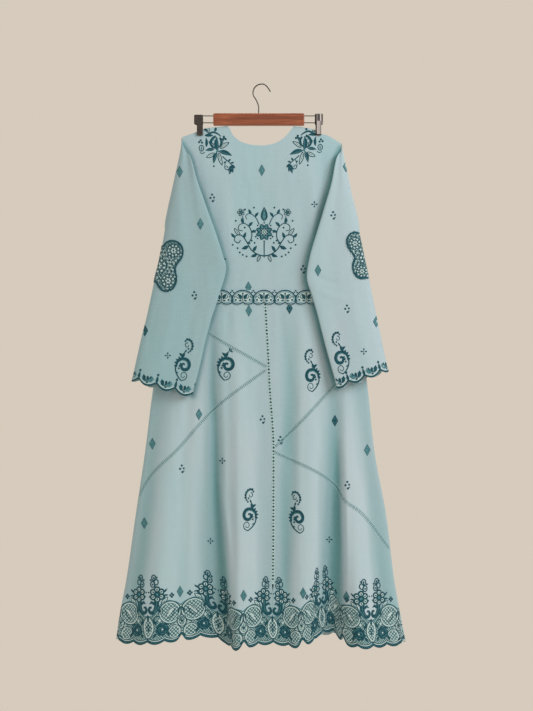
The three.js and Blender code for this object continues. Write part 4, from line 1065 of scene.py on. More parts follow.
def on_cuff(side):
    """p: pixels along the cuff's edge from its outer corner, and up from the edge, all round."""
    g, n, s, _ = (SLEEVE[side][k] for k in ("g", "n", "s", "pitch"))
    nc = g.shape[1]
    s_all = np.append(s, s[-1] + np.linalg.norm(g[-1, 0] - g[-1, -1]))
    up = np.concatenate([np.zeros((1, nc)), np.cumsum(np.linalg.norm(np.diff(g[::-1], axis=0), axis=2), axis=0)])

    def drop(p):
        ci = np.interp(np.mod(p[:, 0] * PX, s_all[-1]), s_all, np.arange(nc + 1))
        c0 = ci.astype(int) % nc
        c1, f = (c0 + 1) % nc, (ci - np.floor(ci))[:, None]
        pts, nrm = np.zeros((len(p), 3)), np.zeros((len(p), 3))
        for i in range(len(p)):
            u = up[:, c0[i]] * (1 - f[i, 0]) + up[:, c1[i]] * f[i, 0]
            r = np.interp(p[i, 1] * PX, u[:40], np.arange(40))
            r0 = int(r)
            q = r - r0
            a, b = -1 - r0, -2 - r0
            pts[i] = (g[a, c0[i]] * (1 - q) + g[b, c0[i]] * q) * (1 - f[i]) + (g[a, c1[i]] * (1 - q) + g[b, c1[i]] * q) * f[i]
            nrm[i] = n[a, c0[i]] * (1 - f[i]) + n[a, c1[i]] * f[i]
        return pts, unit(nrm), np.ones(len(p), bool)
    return drop


class Print:
    """Many thin raised shapes that lie on one piece of cloth, joined in one mesh."""

    def __init__(self, name):
        self.name, self.jobs = name, {}
        self.drop, self.key, self.o, self.s, self.r = None, -1, (0.0, 0.0), (1.0, 1.0), 0.0

    def on(self, drop, at=(0.0, 0.0), scale=(1.0, 1.0), turn=0.0):
        if drop is not self.drop:
            self.key = next((k for k, (d, _) in self.jobs.items() if d is drop), len(self.jobs))
        self.drop, self.o, self.s, self.r = drop, at, scale, math.radians(turn)
        return self

    def patch(self, p, tris, tone, extra=0.0):
        p = np.asarray(p, float) * self.s
        c, s = math.cos(self.r), math.sin(self.r)
        p = np.stack([p[:, 0] * c - p[:, 1] * s, p[:, 0] * s + p[:, 1] * c], -1) + self.o
        tris = np.asarray(tris)
        q = p[tris]
        u, v = q[:, 1] - q[:, 0], q[:, 2] - q[:, 0]
        if (u[:, 0] * v[:, 1] - u[:, 1] * v[:, 0]).sum() < 0:
            tris = tris[:, ::-1]
        self.jobs.setdefault(self.key, (self.drop, []))[1].append((p, tris, tone, LIFT[tone] + extra))

    def disc(self, x, y, r, tone=DARK, n=None, ry=None, extra=0.0):
        n = n or (9 if r < 1.6 else 14 if r < 4 else 24)
        a = np.arange(n) * 2 * np.pi / n + 0.3
        rings = max(1, math.ceil(r / 2.7))
        pts = [np.array([[x, y]])]
        tris = [(0, i + 1, (i + 1) % n + 1) for i in range(n)]
        for k in range(rings):
            q = (k + 1) / rings
            pts.append(np.stack([x + q * r * np.cos(a), y + q * (ry or r) * np.sin(a)], -1))
            if k:
                lo, hi = 1 + (k - 1) * n, 1 + k * n
                for i in range(n):
                    j = (i + 1) % n
                    tris += [(lo + i, hi + i, hi + j), (lo + i, hi + j, lo + j)]
        self.patch(np.concatenate(pts), tris, tone, extra)

    def leaf(self, a, b, w, tone=DARK, bend=0.0, n=6, full=0.42, extra=0.0):
        a, b = np.array(a, float), np.array(b, float)
        t = np.linspace(0, 1, n + 1)[:, None]
        d = b - a
        side = np.array([-d[1], d[0]]) / max(np.hypot(*d), 1e-6)
        mid = a + d * t + side * bend * np.sin(np.pi * t)
        h = np.where(t < full, np.sin(np.pi / 2 * t / full) ** 0.8, np.cos(np.pi / 2 * (t - full) / (1 - full)) ** 0.9)
        h = np.maximum(h, 0.06) * w / 2
        p = np.concatenate([mid + side * h, mid - side * h])
        k = n + 1
        tris = []
        for i in range(n):
            tris += [(i, i + 1, k + i + 1), (i, k + i + 1, k + i)]
        self.patch(p, tris, tone, extra)
        return mid, side, h

    def stroke(self, pts, w, w1=None, tone=DARK, closed=False, step=1.3, fat=0.0, extra=0.0):
        """A line through the points; w to w1 wide, and fatter by the share fat in its middle."""
        p = np.asarray(pts, float)
        if closed:
            p = np.concatenate([p, p[:1]])
        length = np.linalg.norm(np.diff(p, axis=0), axis=1).sum()
        n = max(3, int(length / step) + 1)
        q = spline(p, n)
        d = np.gradient(q, axis=0)
        if closed:
            d[0] = d[-1] = q[1] - q[-2]
        side = unit(np.stack([-d[:, 1], d[:, 0]], -1))
        t = np.linspace(0, 1, n)
        h = (w + ((w if w1 is None else w1) - w) * t) * (1 + fat * np.sin(np.pi * t)) / 2
        pp = np.concatenate([q + side * h[:, None], q - side * h[:, None]])
        tris = []
        for i in range(n - 1):
            tris += [(i, i + 1, n + i + 1), (i, n + i + 1, n + i)]
        self.patch(pp, tris, tone, extra)

    def ring(self, x, y, r, w, tone=DARK, ry=None, extra=0.0):
        n = max(10, int(6.3 * r / 1.2))
        a = np.linspace(0, 2 * np.pi, n + 1)[:-1]
        ry = ry or r
        o = np.stack([x + (r + w / 2) * np.cos(a), y + (ry + w / 2) * np.sin(a)], -1)
        i = np.stack([x + (r - w / 2) * np.cos(a), y + (ry - w / 2) * np.sin(a)], -1)
        tris = []
        for k in range(n):
            j = (k + 1) % n
            tris += [(k, j, n + j), (k, n + j, n + k)]
        self.patch(np.concatenate([o, i]), tris, tone, extra)

    def outlined(self, a, b, w, line=0.8, tone=DARK, fill=LIGHT, bend=0.0):
        """A leaf drawn by its edge, with its vein."""
        mid, side, h = self.leaf(a, b, w, fill, bend)
        edge = np.concatenate([mid + side * h, (mid - side * h)[::-1]])
        self.stroke(edge, line, tone=tone, closed=True, step=1.0)
        self.stroke(mid[1:-2], line * 0.6, tone=tone)

    def spiral(self, x, y, r, turns=1.4, start=0.0, w=0.9, w1=0.6, hand=1, tone=DARK):
        a = np.linspace(0, 2 * np.pi * turns, int(10 * turns) + 4)
        rr = r * (1 - a / a[-1] * 0.86)
        s = math.radians(start)
        self.stroke(np.stack([x + rr * np.cos(s + hand * a), y + rr * np.sin(s + hand * a)], -1), w, w1, tone)

    def flower(self, x, y, r, n=6, turn=0.0, tone=DARK, heart=MIDT):
        for k in range(n):
            a = 2 * np.pi * k / n + turn
            cx, cy = x + 0.62 * r * math.cos(a), y + 0.62 * r * math.sin(a)
            self.disc(cx, cy, 0.42 * r, tone)
            self.disc(cx, cy, 0.21 * r, LIGHT, extra=0.3)
            self.leaf((cx - 0.2 * r * math.cos(a), cy - 0.2 * r * math.sin(a)), (cx + 0.16 * r * math.cos(a), cy + 0.16 * r * math.sin(a)),
                      0.17 * r, tone, n=3, extra=0.4)
        self.disc(x, y, 0.30 * r, tone, extra=0.1)
        self.disc(x, y, 0.17 * r, heart, extra=0.25)

    def done(self):
        """All shapes dropped on the cloth and made into one mesh of thin closed solids."""
        out_p, out_f, out_w, out_uv, n = [], [], [], [], 0
        for drop, jobs in self.jobs.values():
            first = np.cumsum([0] + [len(j[0]) for j in jobs])
            p = np.concatenate([j[0] for j in jobs])
            tris = np.concatenate([j[1] + f for j, f in zip(jobs, first)])
            tone = np.concatenate([np.full(len(j[1]), j[2]) for j in jobs])
            lift = np.concatenate([np.full(len(j[0]), j[3]) for j in jobs])
            pts, nrm, ok = drop(p)
            keep = ok[tris].all(axis=1)
            # no shape is stretched over the step from one layer of cloth to the next
            flat = np.max([np.linalg.norm(p[tris[:, i]] - p[tris[:, j]], axis=1) for i, j in ((0, 1), (1, 2), (2, 0))], axis=0) * PX
            deep = np.max([np.abs(pts[tris[:, i], 1] - pts[tris[:, j], 1]) for i, j in ((0, 1), (1, 2), (2, 0))], axis=0)
            keep &= deep < 3.0 * flat + 2.0
            tris, tone = tris[keep], tone[keep]
            if not len(tris):
                continue
            used = np.unique(tris)
            back = np.full(len(p), -1)
            back[used] = np.arange(len(used))
            tris = back[tris]
            pts, nrm, p, lift = pts[used], nrm[used], p[used], lift[used][:, None]
            m = len(used)
            f = pts[tris]
            if np.sign(np.einsum("ij,ij->i", np.cross(f[:, 1] - f[:, 0], f[:, 2] - f[:, 0]), nrm[tris[:, 0]])).sum() < 0:
                tris = tris[:, ::-1]
            edges = np.concatenate([tris[:, [0, 1]], tris[:, [1, 2]], tris[:, [2, 0]]])
            edge_tone = np.concatenate([tone] * 3)
            free = ~np.isin(edges[:, 0] * m + edges[:, 1], edges[:, 1] * m + edges[:, 0])
            rim, rim_tone = edges[free], edge_tone[free]
            i, j = rim[:, 0], rim[:, 1]
            out_p += [pts + nrm * lift, pts + nrm * 0.03]
            out_f += [tris + n, tris[:, ::-1] + n + m, np.stack([i + n, i + n + m, j + n + m], -1), np.stack([i + n, j + n + m, j + n], -1)]
            out_w += [tone, tone, rim_tone, rim_tone]
            out_uv += [p * PX * MM] * 2
            n += 2 * m
        return make(self.name, np.concatenate(out_p), np.concatenate(out_f), LOOKS, uv=np.concatenate(out_uv),
                    which=np.concatenate(out_w), sharp=30)


# -- the single motifs
def diamond(P, tone=MIDT, w=3.1, h=5.7):
    rows = np.linspace(-1, 1, 9)
    P.patch([(w * max(1 - abs(v), 0.02) * u, h * v) for v in rows for u in (-1, -0.5, 0, 0.5, 1)],
            [t for j in range(8) for i in range(4) for t in ((j * 5 + i, j * 5 + i + 1, j * 5 + i + 6), (j * 5 + i, j * 5 + i + 6, j * 5 + i + 5))], tone)
    for a, b in (((0, -h), (w, 0)), ((w, 0), (0, h)), ((0, h), (-w, 0)), ((-w, 0), (0, -h))):
        P.stroke([a, b], 0.25, tone=DARK, extra=0.1)
    if tone == DARK:
        for a, b in (((0, -0.5 * h), (0.5 * w, 0)), ((0.5 * w, 0), (0, 0.5 * h)), ((0, 0.5 * h), (-0.5 * w, 0)), ((-0.5 * w, 0), (0, -0.5 * h))):
            P.stroke([a, b], 0.35, tone=MIDT, extra=0.15)


def dots(P):
    for x, y, r in ((-0.2, -3.4, 1.1), (-1.9, -0.1, 1.1), (1.7, -0.6, 1.0), (0.5, 3.1, 1.15), (1.9, 2.0, 0.55)):
        P.disc(x, y, r)


def cross(P):
    for a in (0, 90, 180, 270):
        c, s = math.cos(math.radians(a)), math.sin(math.radians(a))
        P.leaf((0.8 * c, 0.8 * s), (3.3 * c, 3.3 * s), 1.5, DARK, n=4, full=0.6)
    P.disc(0, 0, 0.45)


def curl(P, crown=True):
    """Scrolled paisley: a thick snail, a thin one under it, leaves and a beaded crest above."""
    P.stroke([(-8.6, 1.2), (-6.6, -4.4), (-1.6, -6.6), (3.9, -5.0), (5.7, -0.4), (3.5, 3.7), (-0.8, 4.1), (-2.9, 1.2), (-1.3, -1.6),
              (1.0, -1.0)], 1.9, 1.9, DARK, fat=0.9, step=0.9)
    P.stroke([(-5.4, -3.6), (-1.4, -5.4), (3.0, -4.2), (4.6, -0.6), (2.8, 2.6)], 0.5, 0.4, MIDT, extra=0.25)
    for a in (96, 118, 140, 162, 184):
        c, s = math.cos(math.radians(a)), -math.sin(math.radians(a))
        P.leaf((-1.2 + 6.9 * c, -0.4 + 6.9 * s), (-1.2 + 9.8 * c, -0.4 + 9.6 * s), 2.0, n=3)
    P.leaf((-1.5, -8), (-5.2, -12.4), 2.8, bend=0.6)
    P.leaf((-0.6, -8.2), (0.9, -13.2), 2.8, bend=-0.5)
    if not crown:
        P.stroke([(0.2, -11), (2.0, -14.2), (5.2, -15.8)], 0.9, 0.6)
        P.leaf((2.6, -14.6), (6.0, -12.8), 1.6, n=4)
        P.leaf((2.2, -14.8), (2.8, -17.8), 1.5, n=4)
    for x, y in ((-3.7, -1.5), (-4.7, 0.4), (-5.6, 2.9)):
        P.disc(x, y, 1.05)
    P.stroke([(-9.0, 0.8), (-9.2, 4.5), (-8.0, 8.6), (-5.6, 12.4), (-2.9, 15.2)], 1.4, 1.1)
    P.stroke([(-2.9, 15.2), (1.4, 13.8), (3.1, 10.4), (0.8, 7.0), (-2.5, 8.0), (-3.2, 10.9), (-0.9, 12.4), (0.7, 10.6)], 0.9, 0.6, step=0.9)
    P.leaf((-8.4, 6.0), (-6.0, 8.2), 1.1, n=3)
    if crown:
        arc_ = [(1.0, -24.0), (3.6, -26.0), (7.6, -23.8), (8.9, -19.4), (7.6, -15.4), (4.4, -12.8)]
        P.stroke(arc_, 0.7, 0.6)
        for i, (x, y) in enumerate(spline(arc_, 9)):
            P.disc(x + 0.5, y - 0.2, 1.35 if 0 < i < 7 else 0.95)
        P.stroke([(4.2, -22.8), (1.6, -21.6), (1.9, -18.8), (4.4, -18.4), (5.0, -20.4)], 0.9, 0.6)
        P.disc(5.0, -16.6, 0.95)
        P.leaf((0.6, -12.6), (3.2, -15.8), 1.8, n=4)


def spray(P):
    """Shoulder spray: leaves round one node, with a drooping sprig."""
    P.leaf((0, 0), (-0.6, -14), 4.6, bend=-0.8)
    P.leaf((1, 0.2), (14.4, 4.6), 4.6, bend=-0.9)
    P.leaf((-0.5, 1), (-3.8, 12.4), 3.8, bend=0.7)
    P.leaf((-3.4, -1.5), (-12.2, -0.6), 3.2, bend=0.5)
    P.leaf((-11.2, -4), (-11.4, -13.4), 2.7, bend=0.5)
    P.leaf((-12.8, -15.6), (-4.2, -15.2), 3.2, bend=-0.4)
    for a, b in (((0.2, -2), (-0.5, -12)), ((2.5, 0.6), (12, 4)), ((-1, 2.6), (-3.3, 10.6)), ((-4.6, -1.3), (-10.8, -0.8))):
        P.stroke([a, b], 0.45, tone=MIDT, extra=0.2)
    P.outlined((-3.2, 2.2), (-11, 6.4), 3.4, bend=-0.4)
    P.outlined((1.4, 2), (4.8, 14.2), 3.2, bend=0.5)
    P.outlined((3, -2.6), (11.6, -8.4), 3.2, bend=-0.5)
    P.outlined((-4.5, -4.2), (-8.4, -9.8), 2.6, bend=0.4)
    P.stroke([(-2.6, -3.4), (-6.0, -5.6), (-6.2, -9.6), (-4.0, -11.4), (-2.5, -8.8), (-3.9, -7.0)], 1.0, 0.7, MIDT)
    P.stroke([(5.0, 5.4), (8.2, 8.4), (11.6, 11), (14.4, 14)], 1.0, 0.8)
    for a, b, w in (((14.2, 13.6), (17.8, 17.4), 2.4), ((14.4, 14.4), (15.4, 22.0), 2.6), ((13.8, 14.2), (10.8, 20.6), 2.2),
                    ((10.8, 10.4), (13.2, 7.8), 2.0), ((13.2, 12.2), (16.6, 11.2), 1.8), ((14.2, 17.6), (11.6, 23.4), 2.2)):
        P.leaf(a, b, w, n=4)
    P.spiral(9.4, 16.4, 2.7, 1.3, 40, 0.8, 0.5)
    P.stroke([(9.0, 9.4), (7.6, 13), (6.8, 16)], 0.6, 0.4)
    P.disc(7.2, 11.4, 0.95)
    for x, y in ((6.4, -14.2), (4.9, -11.6), (8.2, -12.0), (6.6, -12.6)):
        P.disc(x, y, 1.15)
    P.stroke([(6.2, -11.4), (4.4, -7), (1.6, -3.4)], 0.7, 0.6)
    P.ring(-16, -2.8, 2.3, 0.8, ry=3.0)
    P.leaf((-16.1, -0.6), (-15.8, -4.8), 1.5, MIDT, n=4)
    for x, y in ((-16.8, -10.6), (-18.4, -8.8), (-15.4, -8.4)):
        P.disc(x, y, 1.1)
    P.stroke([(-12.8, 1.4), (-15.6, 2.6), (-17.6, 1.2)], 0.8, 0.5)
    P.disc(-3.6, 15.2, 0.9)
    P.disc(0, 0, 1.3, MIDT, extra=0.2)
    P.stroke([(-1.6, -14.6), (-4.6, -12.8), (-6.8, -8.6), (-5.2, -4.2), (-2.2, -2.6)], 2.2, 1.2, fat=0.4)
    P.stroke([(2.2, -13.4), (3.8, -10.2), (3.2, -6.4), (1.4, -3.4)], 1.8, 0.9, fat=0.3)
    P.stroke([(-8.6, -17.4), (-4.2, -18.8), (0.2, -17.2), (3.4, -14.6)], 1.6, 0.8, fat=0.4)
    P.leaf((-9.4, -19.6), (-14.2, -22.8), 2.6)
    P.leaf((-2.4, -19.4), (-1.4, -24.0), 2.6)
    P.outlined((-9.2, -18), (-10.4, -25.4), 3.0)


def posy(P):
    """Generic posy on the chest: an open rosette between two scrolled stems, mirrored left to right."""
    for k in range(8):
        a = 2 * math.pi * k / 8 + math.pi / 8
        c, s = math.cos(a), math.sin(a)
        P.leaf((2.6 * c, 2.6 * s), (8.6 * c, 8.6 * s), 4.6, DARK, full=0.6)
        P.leaf((3.6 * c, 3.6 * s), (7.4 * c, 7.4 * s), 2.0, MIDT, full=0.6, extra=0.25)
    for k in range(8):
        a = 2 * math.pi * k / 8
        P.disc(9.2 * math.cos(a), 9.2 * math.sin(a), 0.8)
    P.disc(0, 0, 3.2, DARK, extra=0.1)
    P.ring(0, 0, 2.1, 0.7, LIGHT, extra=0.3)
    P.disc(0, 0, 0.9, LIGHT, extra=0.3)
    P.stroke([(0, 9.5), (0, 25.5)], 1.1, 0.8)
    P.leaf((0, -10.6), (0, -25), 7.0, DARK, full=0.36)
    P.leaf((0, -12), (0, -22.5), 3.2, MIDT, full=0.36, extra=0.25)
    P.stroke([(0, -11.4), (0, -23)], 0.5, tone=LIGHT, extra=0.2)
    for s in (-1, 1):
        P.s = (s, 1.0)
        P.stroke([(0, 24), (6, 22.6), (13, 17.6), (17.6, 9.6), (22.6, 3.4), (28.2, 3.6), (29.6, 8.6), (25.8, 11), (23.6, 8.2)], 1.2, 0.8)
        P.stroke([(16.2, 12.4), (12.4, 4.6), (14.2, -4), (19.6, -8.6), (25, -6.8), (25.4, -2.2), (21.6, -1.2)], 1.0, 0.7)
        P.stroke([(5, -7.4), (8.4, -14.4), (14.4, -18.6), (18.6, -16), (17.2, -12.6)], 0.9, 0.6)
        for a, b, w in (((7, 22), (13.4, 24.6), 3.2), ((10.8, 19.6), (7.4, 13.8), 3.2), ((15.6, 14), (22.6, 16.8), 3.6),
                        ((17.2, 10.4), (13.4, 12.0), 1.8), ((20, 6.4), (18.2, 0.2), 2.8), ((13, 0.6), (7.6, -1.6), 2.6),
                        ((15.4, -5.4), (11.2, -10), 2.8), ((20.4, -8.6), (22.6, -14.2), 3.0), ((9, -15), (5.6, -19.6), 2.6),
                        ((12.8, -18.2), (15.4, -23), 2.6), ((28.8, 5.4), (33, 1.2), 2.8)):
            P.leaf(a, b, w, DARK, bend=0.4)
        P.outlined((24.4, 3.2), (30, -3.6), 3.0)
        P.outlined((4.2, 23.4), (6.8, 29.6), 2.6)
        P.flower(23.2, -19.6, 3.8, 5)
        P.stroke([(21.8, -15.8), (20.6, -12)], 0.8)
        for x, y in ((12.4, 8.6), (9.6, 10.8), (21.4, 22.8), (24.4, 20.4), (26.6, 16.2), (8.4, 4.6), (10.2, -24.4), (19.2, -22.6), (28.4, -11.2),
                     (31.4, 12.8), (17.6, 24.4), (19.4, -4.4)):
            P.disc(x, y, 0.95)
    P.s = (1.0, 1.0)


def edge_up(side, k, x):
    """How far the cut edge stands above the hem line, in pixels, along a repeat."""
    ax, al = arc[side]
    s0, s1 = REPEATS[side][k], REPEATS[side][k + 1]
    return scallops(np.interp(lerp(s0, s1, (x + 33) / 66), al, ax), side) / PX


def border(P, side, k):
    """One repeat of the hem border; y is up from the hem line."""
    xs = np.arange(-33, 33.01, 1.1)
    low = edge_up(side, k, xs) + 2.0
    top = np.interp(np.abs(xs), [0, 5, 9, 12, 15, 22, 28, 33], [27, 28, 33, 37, 40, 41.5, 39.5, 36])
    rows = 9
    p = [(x, lerp(b, t, j / (rows - 1))) for j in range(rows) for x, b, t in zip(xs, low, top)]
    m = len(xs)
    tris = []
    for j in range(rows - 1):
        for i in range(m - 1):
            a = j * m + i
            tris += [(a, a + 1, a + m + 1), (a, a + m + 1, a + m)]
    P.patch(p, tris, FINE)
    P.stroke(list(zip(xs[::2], top[::2] + 0.2)), 0.9, tone=MIDT, step=1.5)
    for s in (-1, 1):
        P.s = (s, 1.0)
        # round net medallions, and lobes near the edge
        P.disc(22, 30, 10.4, NET)
        P.ring(22, 30, 9.8, 1.0, LIGHT)
        P.ring(22, 30, 10.9, 0.7, DARK)
        P.ring(22, 30, 8.9, 0.35, MIDT)
        P.leaf((18.4, 25.4), (26.2, 34.2), 3.6, LIGHT, bend=1.2)
        P.stroke([(17.4, 26.4), (21.4, 32.2), (27, 35.4)], 0.7, 0.5)
        P.stroke([(27.4, 33.4), (24.4, 27), (19.8, 24.6), (18.6, 28.2), (21.4, 29.8)], 0.9, 0.5)
        P.disc(25.6, 10.6, 6.0, NET)
        P.ring(25.6, 10.6, 5.6, 0.7, LIGHT)
        P.ring(25.6, 10.6, 6.4, 0.6, DARK)
        P.disc(33, 20.5, 3.4, NET, ry=4.6)
        P.ring(33, 20.5, 3.4, 0.8, LIGHT, ry=4.8)
        P.ring(33, 20.5, 4.2, 0.5, DARK, ry=5.6)
        P.disc(33, 20.5, 1.2, DARK)
        # roses
        for k in range(8):
            a = 2 * math.pi * k / 8 + 0.2
            P.disc(13.6 + 4.4 * math.cos(a), 14.4 + 4.4 * math.sin(a), 2.2, DARK)
        P.disc(13.6, 14.4, 4.8, DARK)
        for a0, rr in ((0.2, 4.6), (2.3, 3.4), (4.4, 4.2), (1.2, 2.2), (3.6, 1.9)):
            q = [(13.6 + rr * math.cos(a0 + t), 14.4 + rr * math.sin(a0 + t)) for t in (0, 0.5, 1.0, 1.5)]
            P.stroke(q, 0.6, 0.4, MIDT, extra=0.25)
        P.disc(13.6, 14.4, 0.9, LIGHT, extra=0.25)
        for a, b in (((8.4, 18.6), (5.0, 24.6)), ((18.4, 18.2), (20.2, 19.6)), ((19.2, 12), (21.0, 6.2)), ((8.2, 11), (5.2, 6.4))):
            P.leaf(a, b, 2.4, DARK, n=4)
        # thick curled stems that meet under the flowers
        P.stroke([(8.8, 45.5), (9.4, 40.5), (8.8, 35.2), (6.2, 31.4), (3.2, 31.0), (1.5, 33.2), (2.4, 36.2), (4.4, 35.8)], 4.7, 1.8, DARK, fat=0.25,
                 step=1.0)
        P.stroke([(9.2, 43), (9.3, 39), (8.2, 34.8), (5.8, 32.2)], 0.6, 0.5, MIDT, extra=0.25)
        P.leaf((8.0, 38.2), (3.6, 42.4), 2.4, DARK)
        P.leaf((9.8, 35), (13.6, 31), 2.6, DARK)
        P.leaf((6.0, 41.8), (2.0, 39.4), 1.8, DARK, n=4)
        # flowers with their sprigs
        P.flower(10.2, 48.5, 7.7, 6, 0.52)
        P.stroke([(8.6, 54.6), (8.0, 58), (7.6, 62), (7.8, 65.4)], 1.2, 0.8)
        P.ring(6.0, 58.2, 2.2, 1.1, DARK, ry=2.8)
        P.ring(9.6, 60.4, 2.1, 1.1, DARK, ry=2.7)
        P.disc(6.0, 58.0, 0.9)
        P.ring(7.4, 64.4, 2.2, 1.1, DARK, ry=2.8)
        P.disc(7.4, 64.4, 0.9)
        P.disc(4.0, 62.2, 1.0)
        P.disc(10.4, 64.8, 0.9)
        P.leaf((4.8, 44), (1.6, 47.4), 1.6, n=4)
        P.disc(1.4, 50.4, 0.8)
        # leaves beside the flowers
        P.outlined((13.8, 38.4), (20.6, 45.2), 3.6, 0.7)
        P.outlined((12.6, 36.6), (13.6, 28.4), 3.0, 0.7)
        P.leaf((15.8, 42.6), (18.6, 48.2), 1.7, n=4)
        P.leaf((16.8, 50), (20.4, 53.6), 1.8, n=4)
        P.leaf((17.0, 47.6), (21.2, 47.0), 1.6, n=4)
        for dx, dy in ((-1.5, 0), (1.5, 0), (0, 1.6), (0, -1.6)):
            P.disc(24.6 + dx, 46.4 + dy, 1.1)
        P.stroke([(12.4, 26.6), (8.6, 27.4), (6.2, 24.4), (8.0, 21.6), (9.8, 23.2)], 0.9, 0.6)
        P.leaf((10.8, 21.6), (13.6, 26), 2.0, LIGHT, n=4)
        P.stroke([(26.8, 18.8), (29.8, 14.6), (30.6, 9.2)], 0.8, 0.6, LIGHT)
        P.leaf((30.0, 27.6), (31.8, 34.6), 1.9, DARK, n=4)
        P.leaf((29.2, 5.2), (32.2, 8.4), 1.8, DARK, n=4)
    P.s = (1.0, 1.0)
    # pointed oval in the middle
    oval = [(0, 27), (3.4, 22.6), (4.6, 17.4), (3.6, 12), (0, 7), (-3.6, 12), (-4.6, 17.4), (-3.4, 22.6)]
    P.disc(0, 17, 4.0, NET, ry=8.6)
    P.stroke(oval, 1.2, tone=LIGHT, closed=True, step=1.2)
    P.stroke([(x * 1.28, 17 + (y - 17) * 1.14) for x, y in oval], 0.6, tone=DARK, closed=True, step=1.2)
    for a in (0, 90, 180, 270):
        c, s = math.cos(math.radians(a)), math.sin(math.radians(a))
        P.leaf((0.5 * c, 17 + 0.5 * s), (2.7 * c, 17 + 4.0 * s if s else 17), 1.9, DARK, n=4)
    P.leaf((0, 22), (0, 29.4), 2.4, DARK)
    P.leaf((0, 7), (0, 3.4), 2.2, DARK)


def border_edge(P, side, k):
    """The scalloped edge of one repeat: a dark picot band, a light line and a thin dark one."""
    x = np.linspace(-33, 33, 133)
    up = edge_up(side, k, x)
    for off, w, tone in ((1.5, 2.7, DARK), (3.3, 0.7, LIGHT), (4.2, 0.5, DARK)):
        p = np.stack([x, up + off], -1)
        n = len(p)
        q = np.concatenate([p + [0, w / 2], p - [0, w / 2]])
        tris = []
        for i in range(n - 1):
            tris += [(i, i + 1, n + i + 1), (i, n + i + 1, n + i)]
        P.patch(q, tris, tone)
    for i in range(2, 131, 4):
        P.disc(x[i], up[i] + 1.7, 0.42, MIDT, n=6, extra=0.25)


def arches(P, k0, k1):
    """The waistband's arches from number k0 to k1."""
    for k in range(k0, k1 + 1):
        P.o = (21.0 * k, 0.0)
        P.disc(0, 7.4, 8.4, LIGHT, ry=5.6, extra=-0.25)
        P.stroke([(-10.3, 10.2), (-9.9, 6.8), (-7.6, 3.3), (-4.2, 1.2), (0, 0.6), (4.2, 1.2), (7.6, 3.3), (9.9, 6.8), (10.3, 10.2)], 1.15)
        P.stroke([(-8.8, 9.4), (-8.3, 6.8), (-6.4, 4.2), (-3.6, 2.5), (0, 2.0), (3.6, 2.5), (6.4, 4.2), (8.3, 6.8), (8.8, 9.4)], 0.5, tone=MIDT)
        for s in (-1, 1):
            P.s = (s, 1.0)
            P.stroke([(10.5, 12.0), (8.6, 13.6), (5.2, 14.1), (1.9, 13.4), (0, 11.7)], 1.1)
            P.stroke([(9.8, 10.4), (7.8, 12.0), (5.2, 12.4), (2.6, 11.8), (1.0, 10.2)], 0.5, tone=MIDT)
            P.leaf((1.5, 9.6), (5.0, 3.9), 3.3, bend=-0.8)
            P.stroke([(2.4, 7.6), (4.6, 8.4), (6.2, 6.8), (5.4, 5.2)], 1.0, 0.6)
            P.disc(6.9, 9.9, 1.0)
            P.leaf((1.2, 10.6), (4.4, 10.4), 1.4, n=4)
            P.disc(7.7, 7.0, 0.7)
        P.s = (1.0, 1.0)
        P.stroke([(0, 4.0), (0, 11)], 0.9, 0.7)
        P.disc(0, 3.7, 0.9)
        P.disc(10.5, 10.6, 1.5)
        P.leaf((10.5, 9.4), (10.5, 4.8), 1.7, n=4)
        for dx, dy in ((-1.4, 2.5), (1.4, 2.5), (0, 0.9)):
            P.disc(10.5 + dx, dy, 0.85)
    P.o = (0.0, 0.0)


def rosette(P, r, n=9):
    """Worked round of the elbow lace: a ring of petals round a small flower."""
    P.ring(0, 0, r, 0.6, DARK)
    P.ring(0, 0, r * 0.56, 0.5, DARK)
    for k in range(n):
        a = 2 * math.pi * (k + 0.5) / n
        c, s = math.cos(a), math.sin(a)
        P.leaf((0.62 * r * c, 0.62 * r * s), (0.93 * r * c, 0.93 * r * s), 0.28 * r, LIGHT, full=0.6, n=4)
        P.disc(0.78 * r * math.cos(a + math.pi / n), 0.78 * r * math.sin(a + math.pi / n), 0.55, DARK, n=6)
        P.disc(1.08 * r * c, 1.08 * r * s, 0.5, DARK, n=6)
    for k in range(6):
        a = math.pi * k / 3
        P.leaf((0.12 * r * math.cos(a), 0.12 * r * math.sin(a)), (0.46 * r * math.cos(a), 0.46 * r * math.sin(a)), 0.22 * r, LIGHT, n=4)
    P.disc(0, 0, 0.75, DARK, n=8)


front_tree = surface(*FRONT.values())
sleeve_tree = {s: surface(SLEEVE[s]["g"], wrap=True) for s in SLEEVE}
on_front = from_eye(front_tree)
on_back = straight(surface(*BACK.values()), False)
on_left, on_right = from_eye(sleeve_tree["left"]), from_eye(sleeve_tree["right"])

# where the single motifs stand, in pixels of the picture
SMALL = {
    "diamond": {"bodice": [(261.8, 170.2), (248.4, 287.2)], "skirt": [(248.8, 310.7), (198.9, 414.3), (152.4, 443.6), (334.9, 420.7),
                (367.2, 450), (144.4, 523.1), (180.1, 591.5), (243.6, 595.6), (303.1, 593.1), (346.5, 596.9), (289.5, 308.3)],
                "left": [(179.6, 171.8), (200.4, 223.9), (144.9, 330.5)], "right": [(318, 270.3), (346, 166.5), (376.2, 321.6)]},
    "dots": {"bodice": [(212.4, 198), (303.2, 269.4)], "skirt": [(262.7, 419.6), (280.6, 440.3), (182, 468.9), (347.5, 485.3)],
             "left": [(194.5, 295.5)], "right": [(333.3, 215.5), (347.2, 308.9)]},
    "cross": {"bodice": [(314.4, 204.3), (223, 259)], "skirt": [(222.4, 460.8), (210.4, 541), (329.2, 539.5)],
              "left": [(167.8, 355.5)], "right": [(363.8, 351.5)]},
}
DARKER = {(289.5, 308.3), (144.9, 330.5), (334.9, 420.7)}
DRAW = {"diamond": diamond, "dots": dots, "cross": cross}


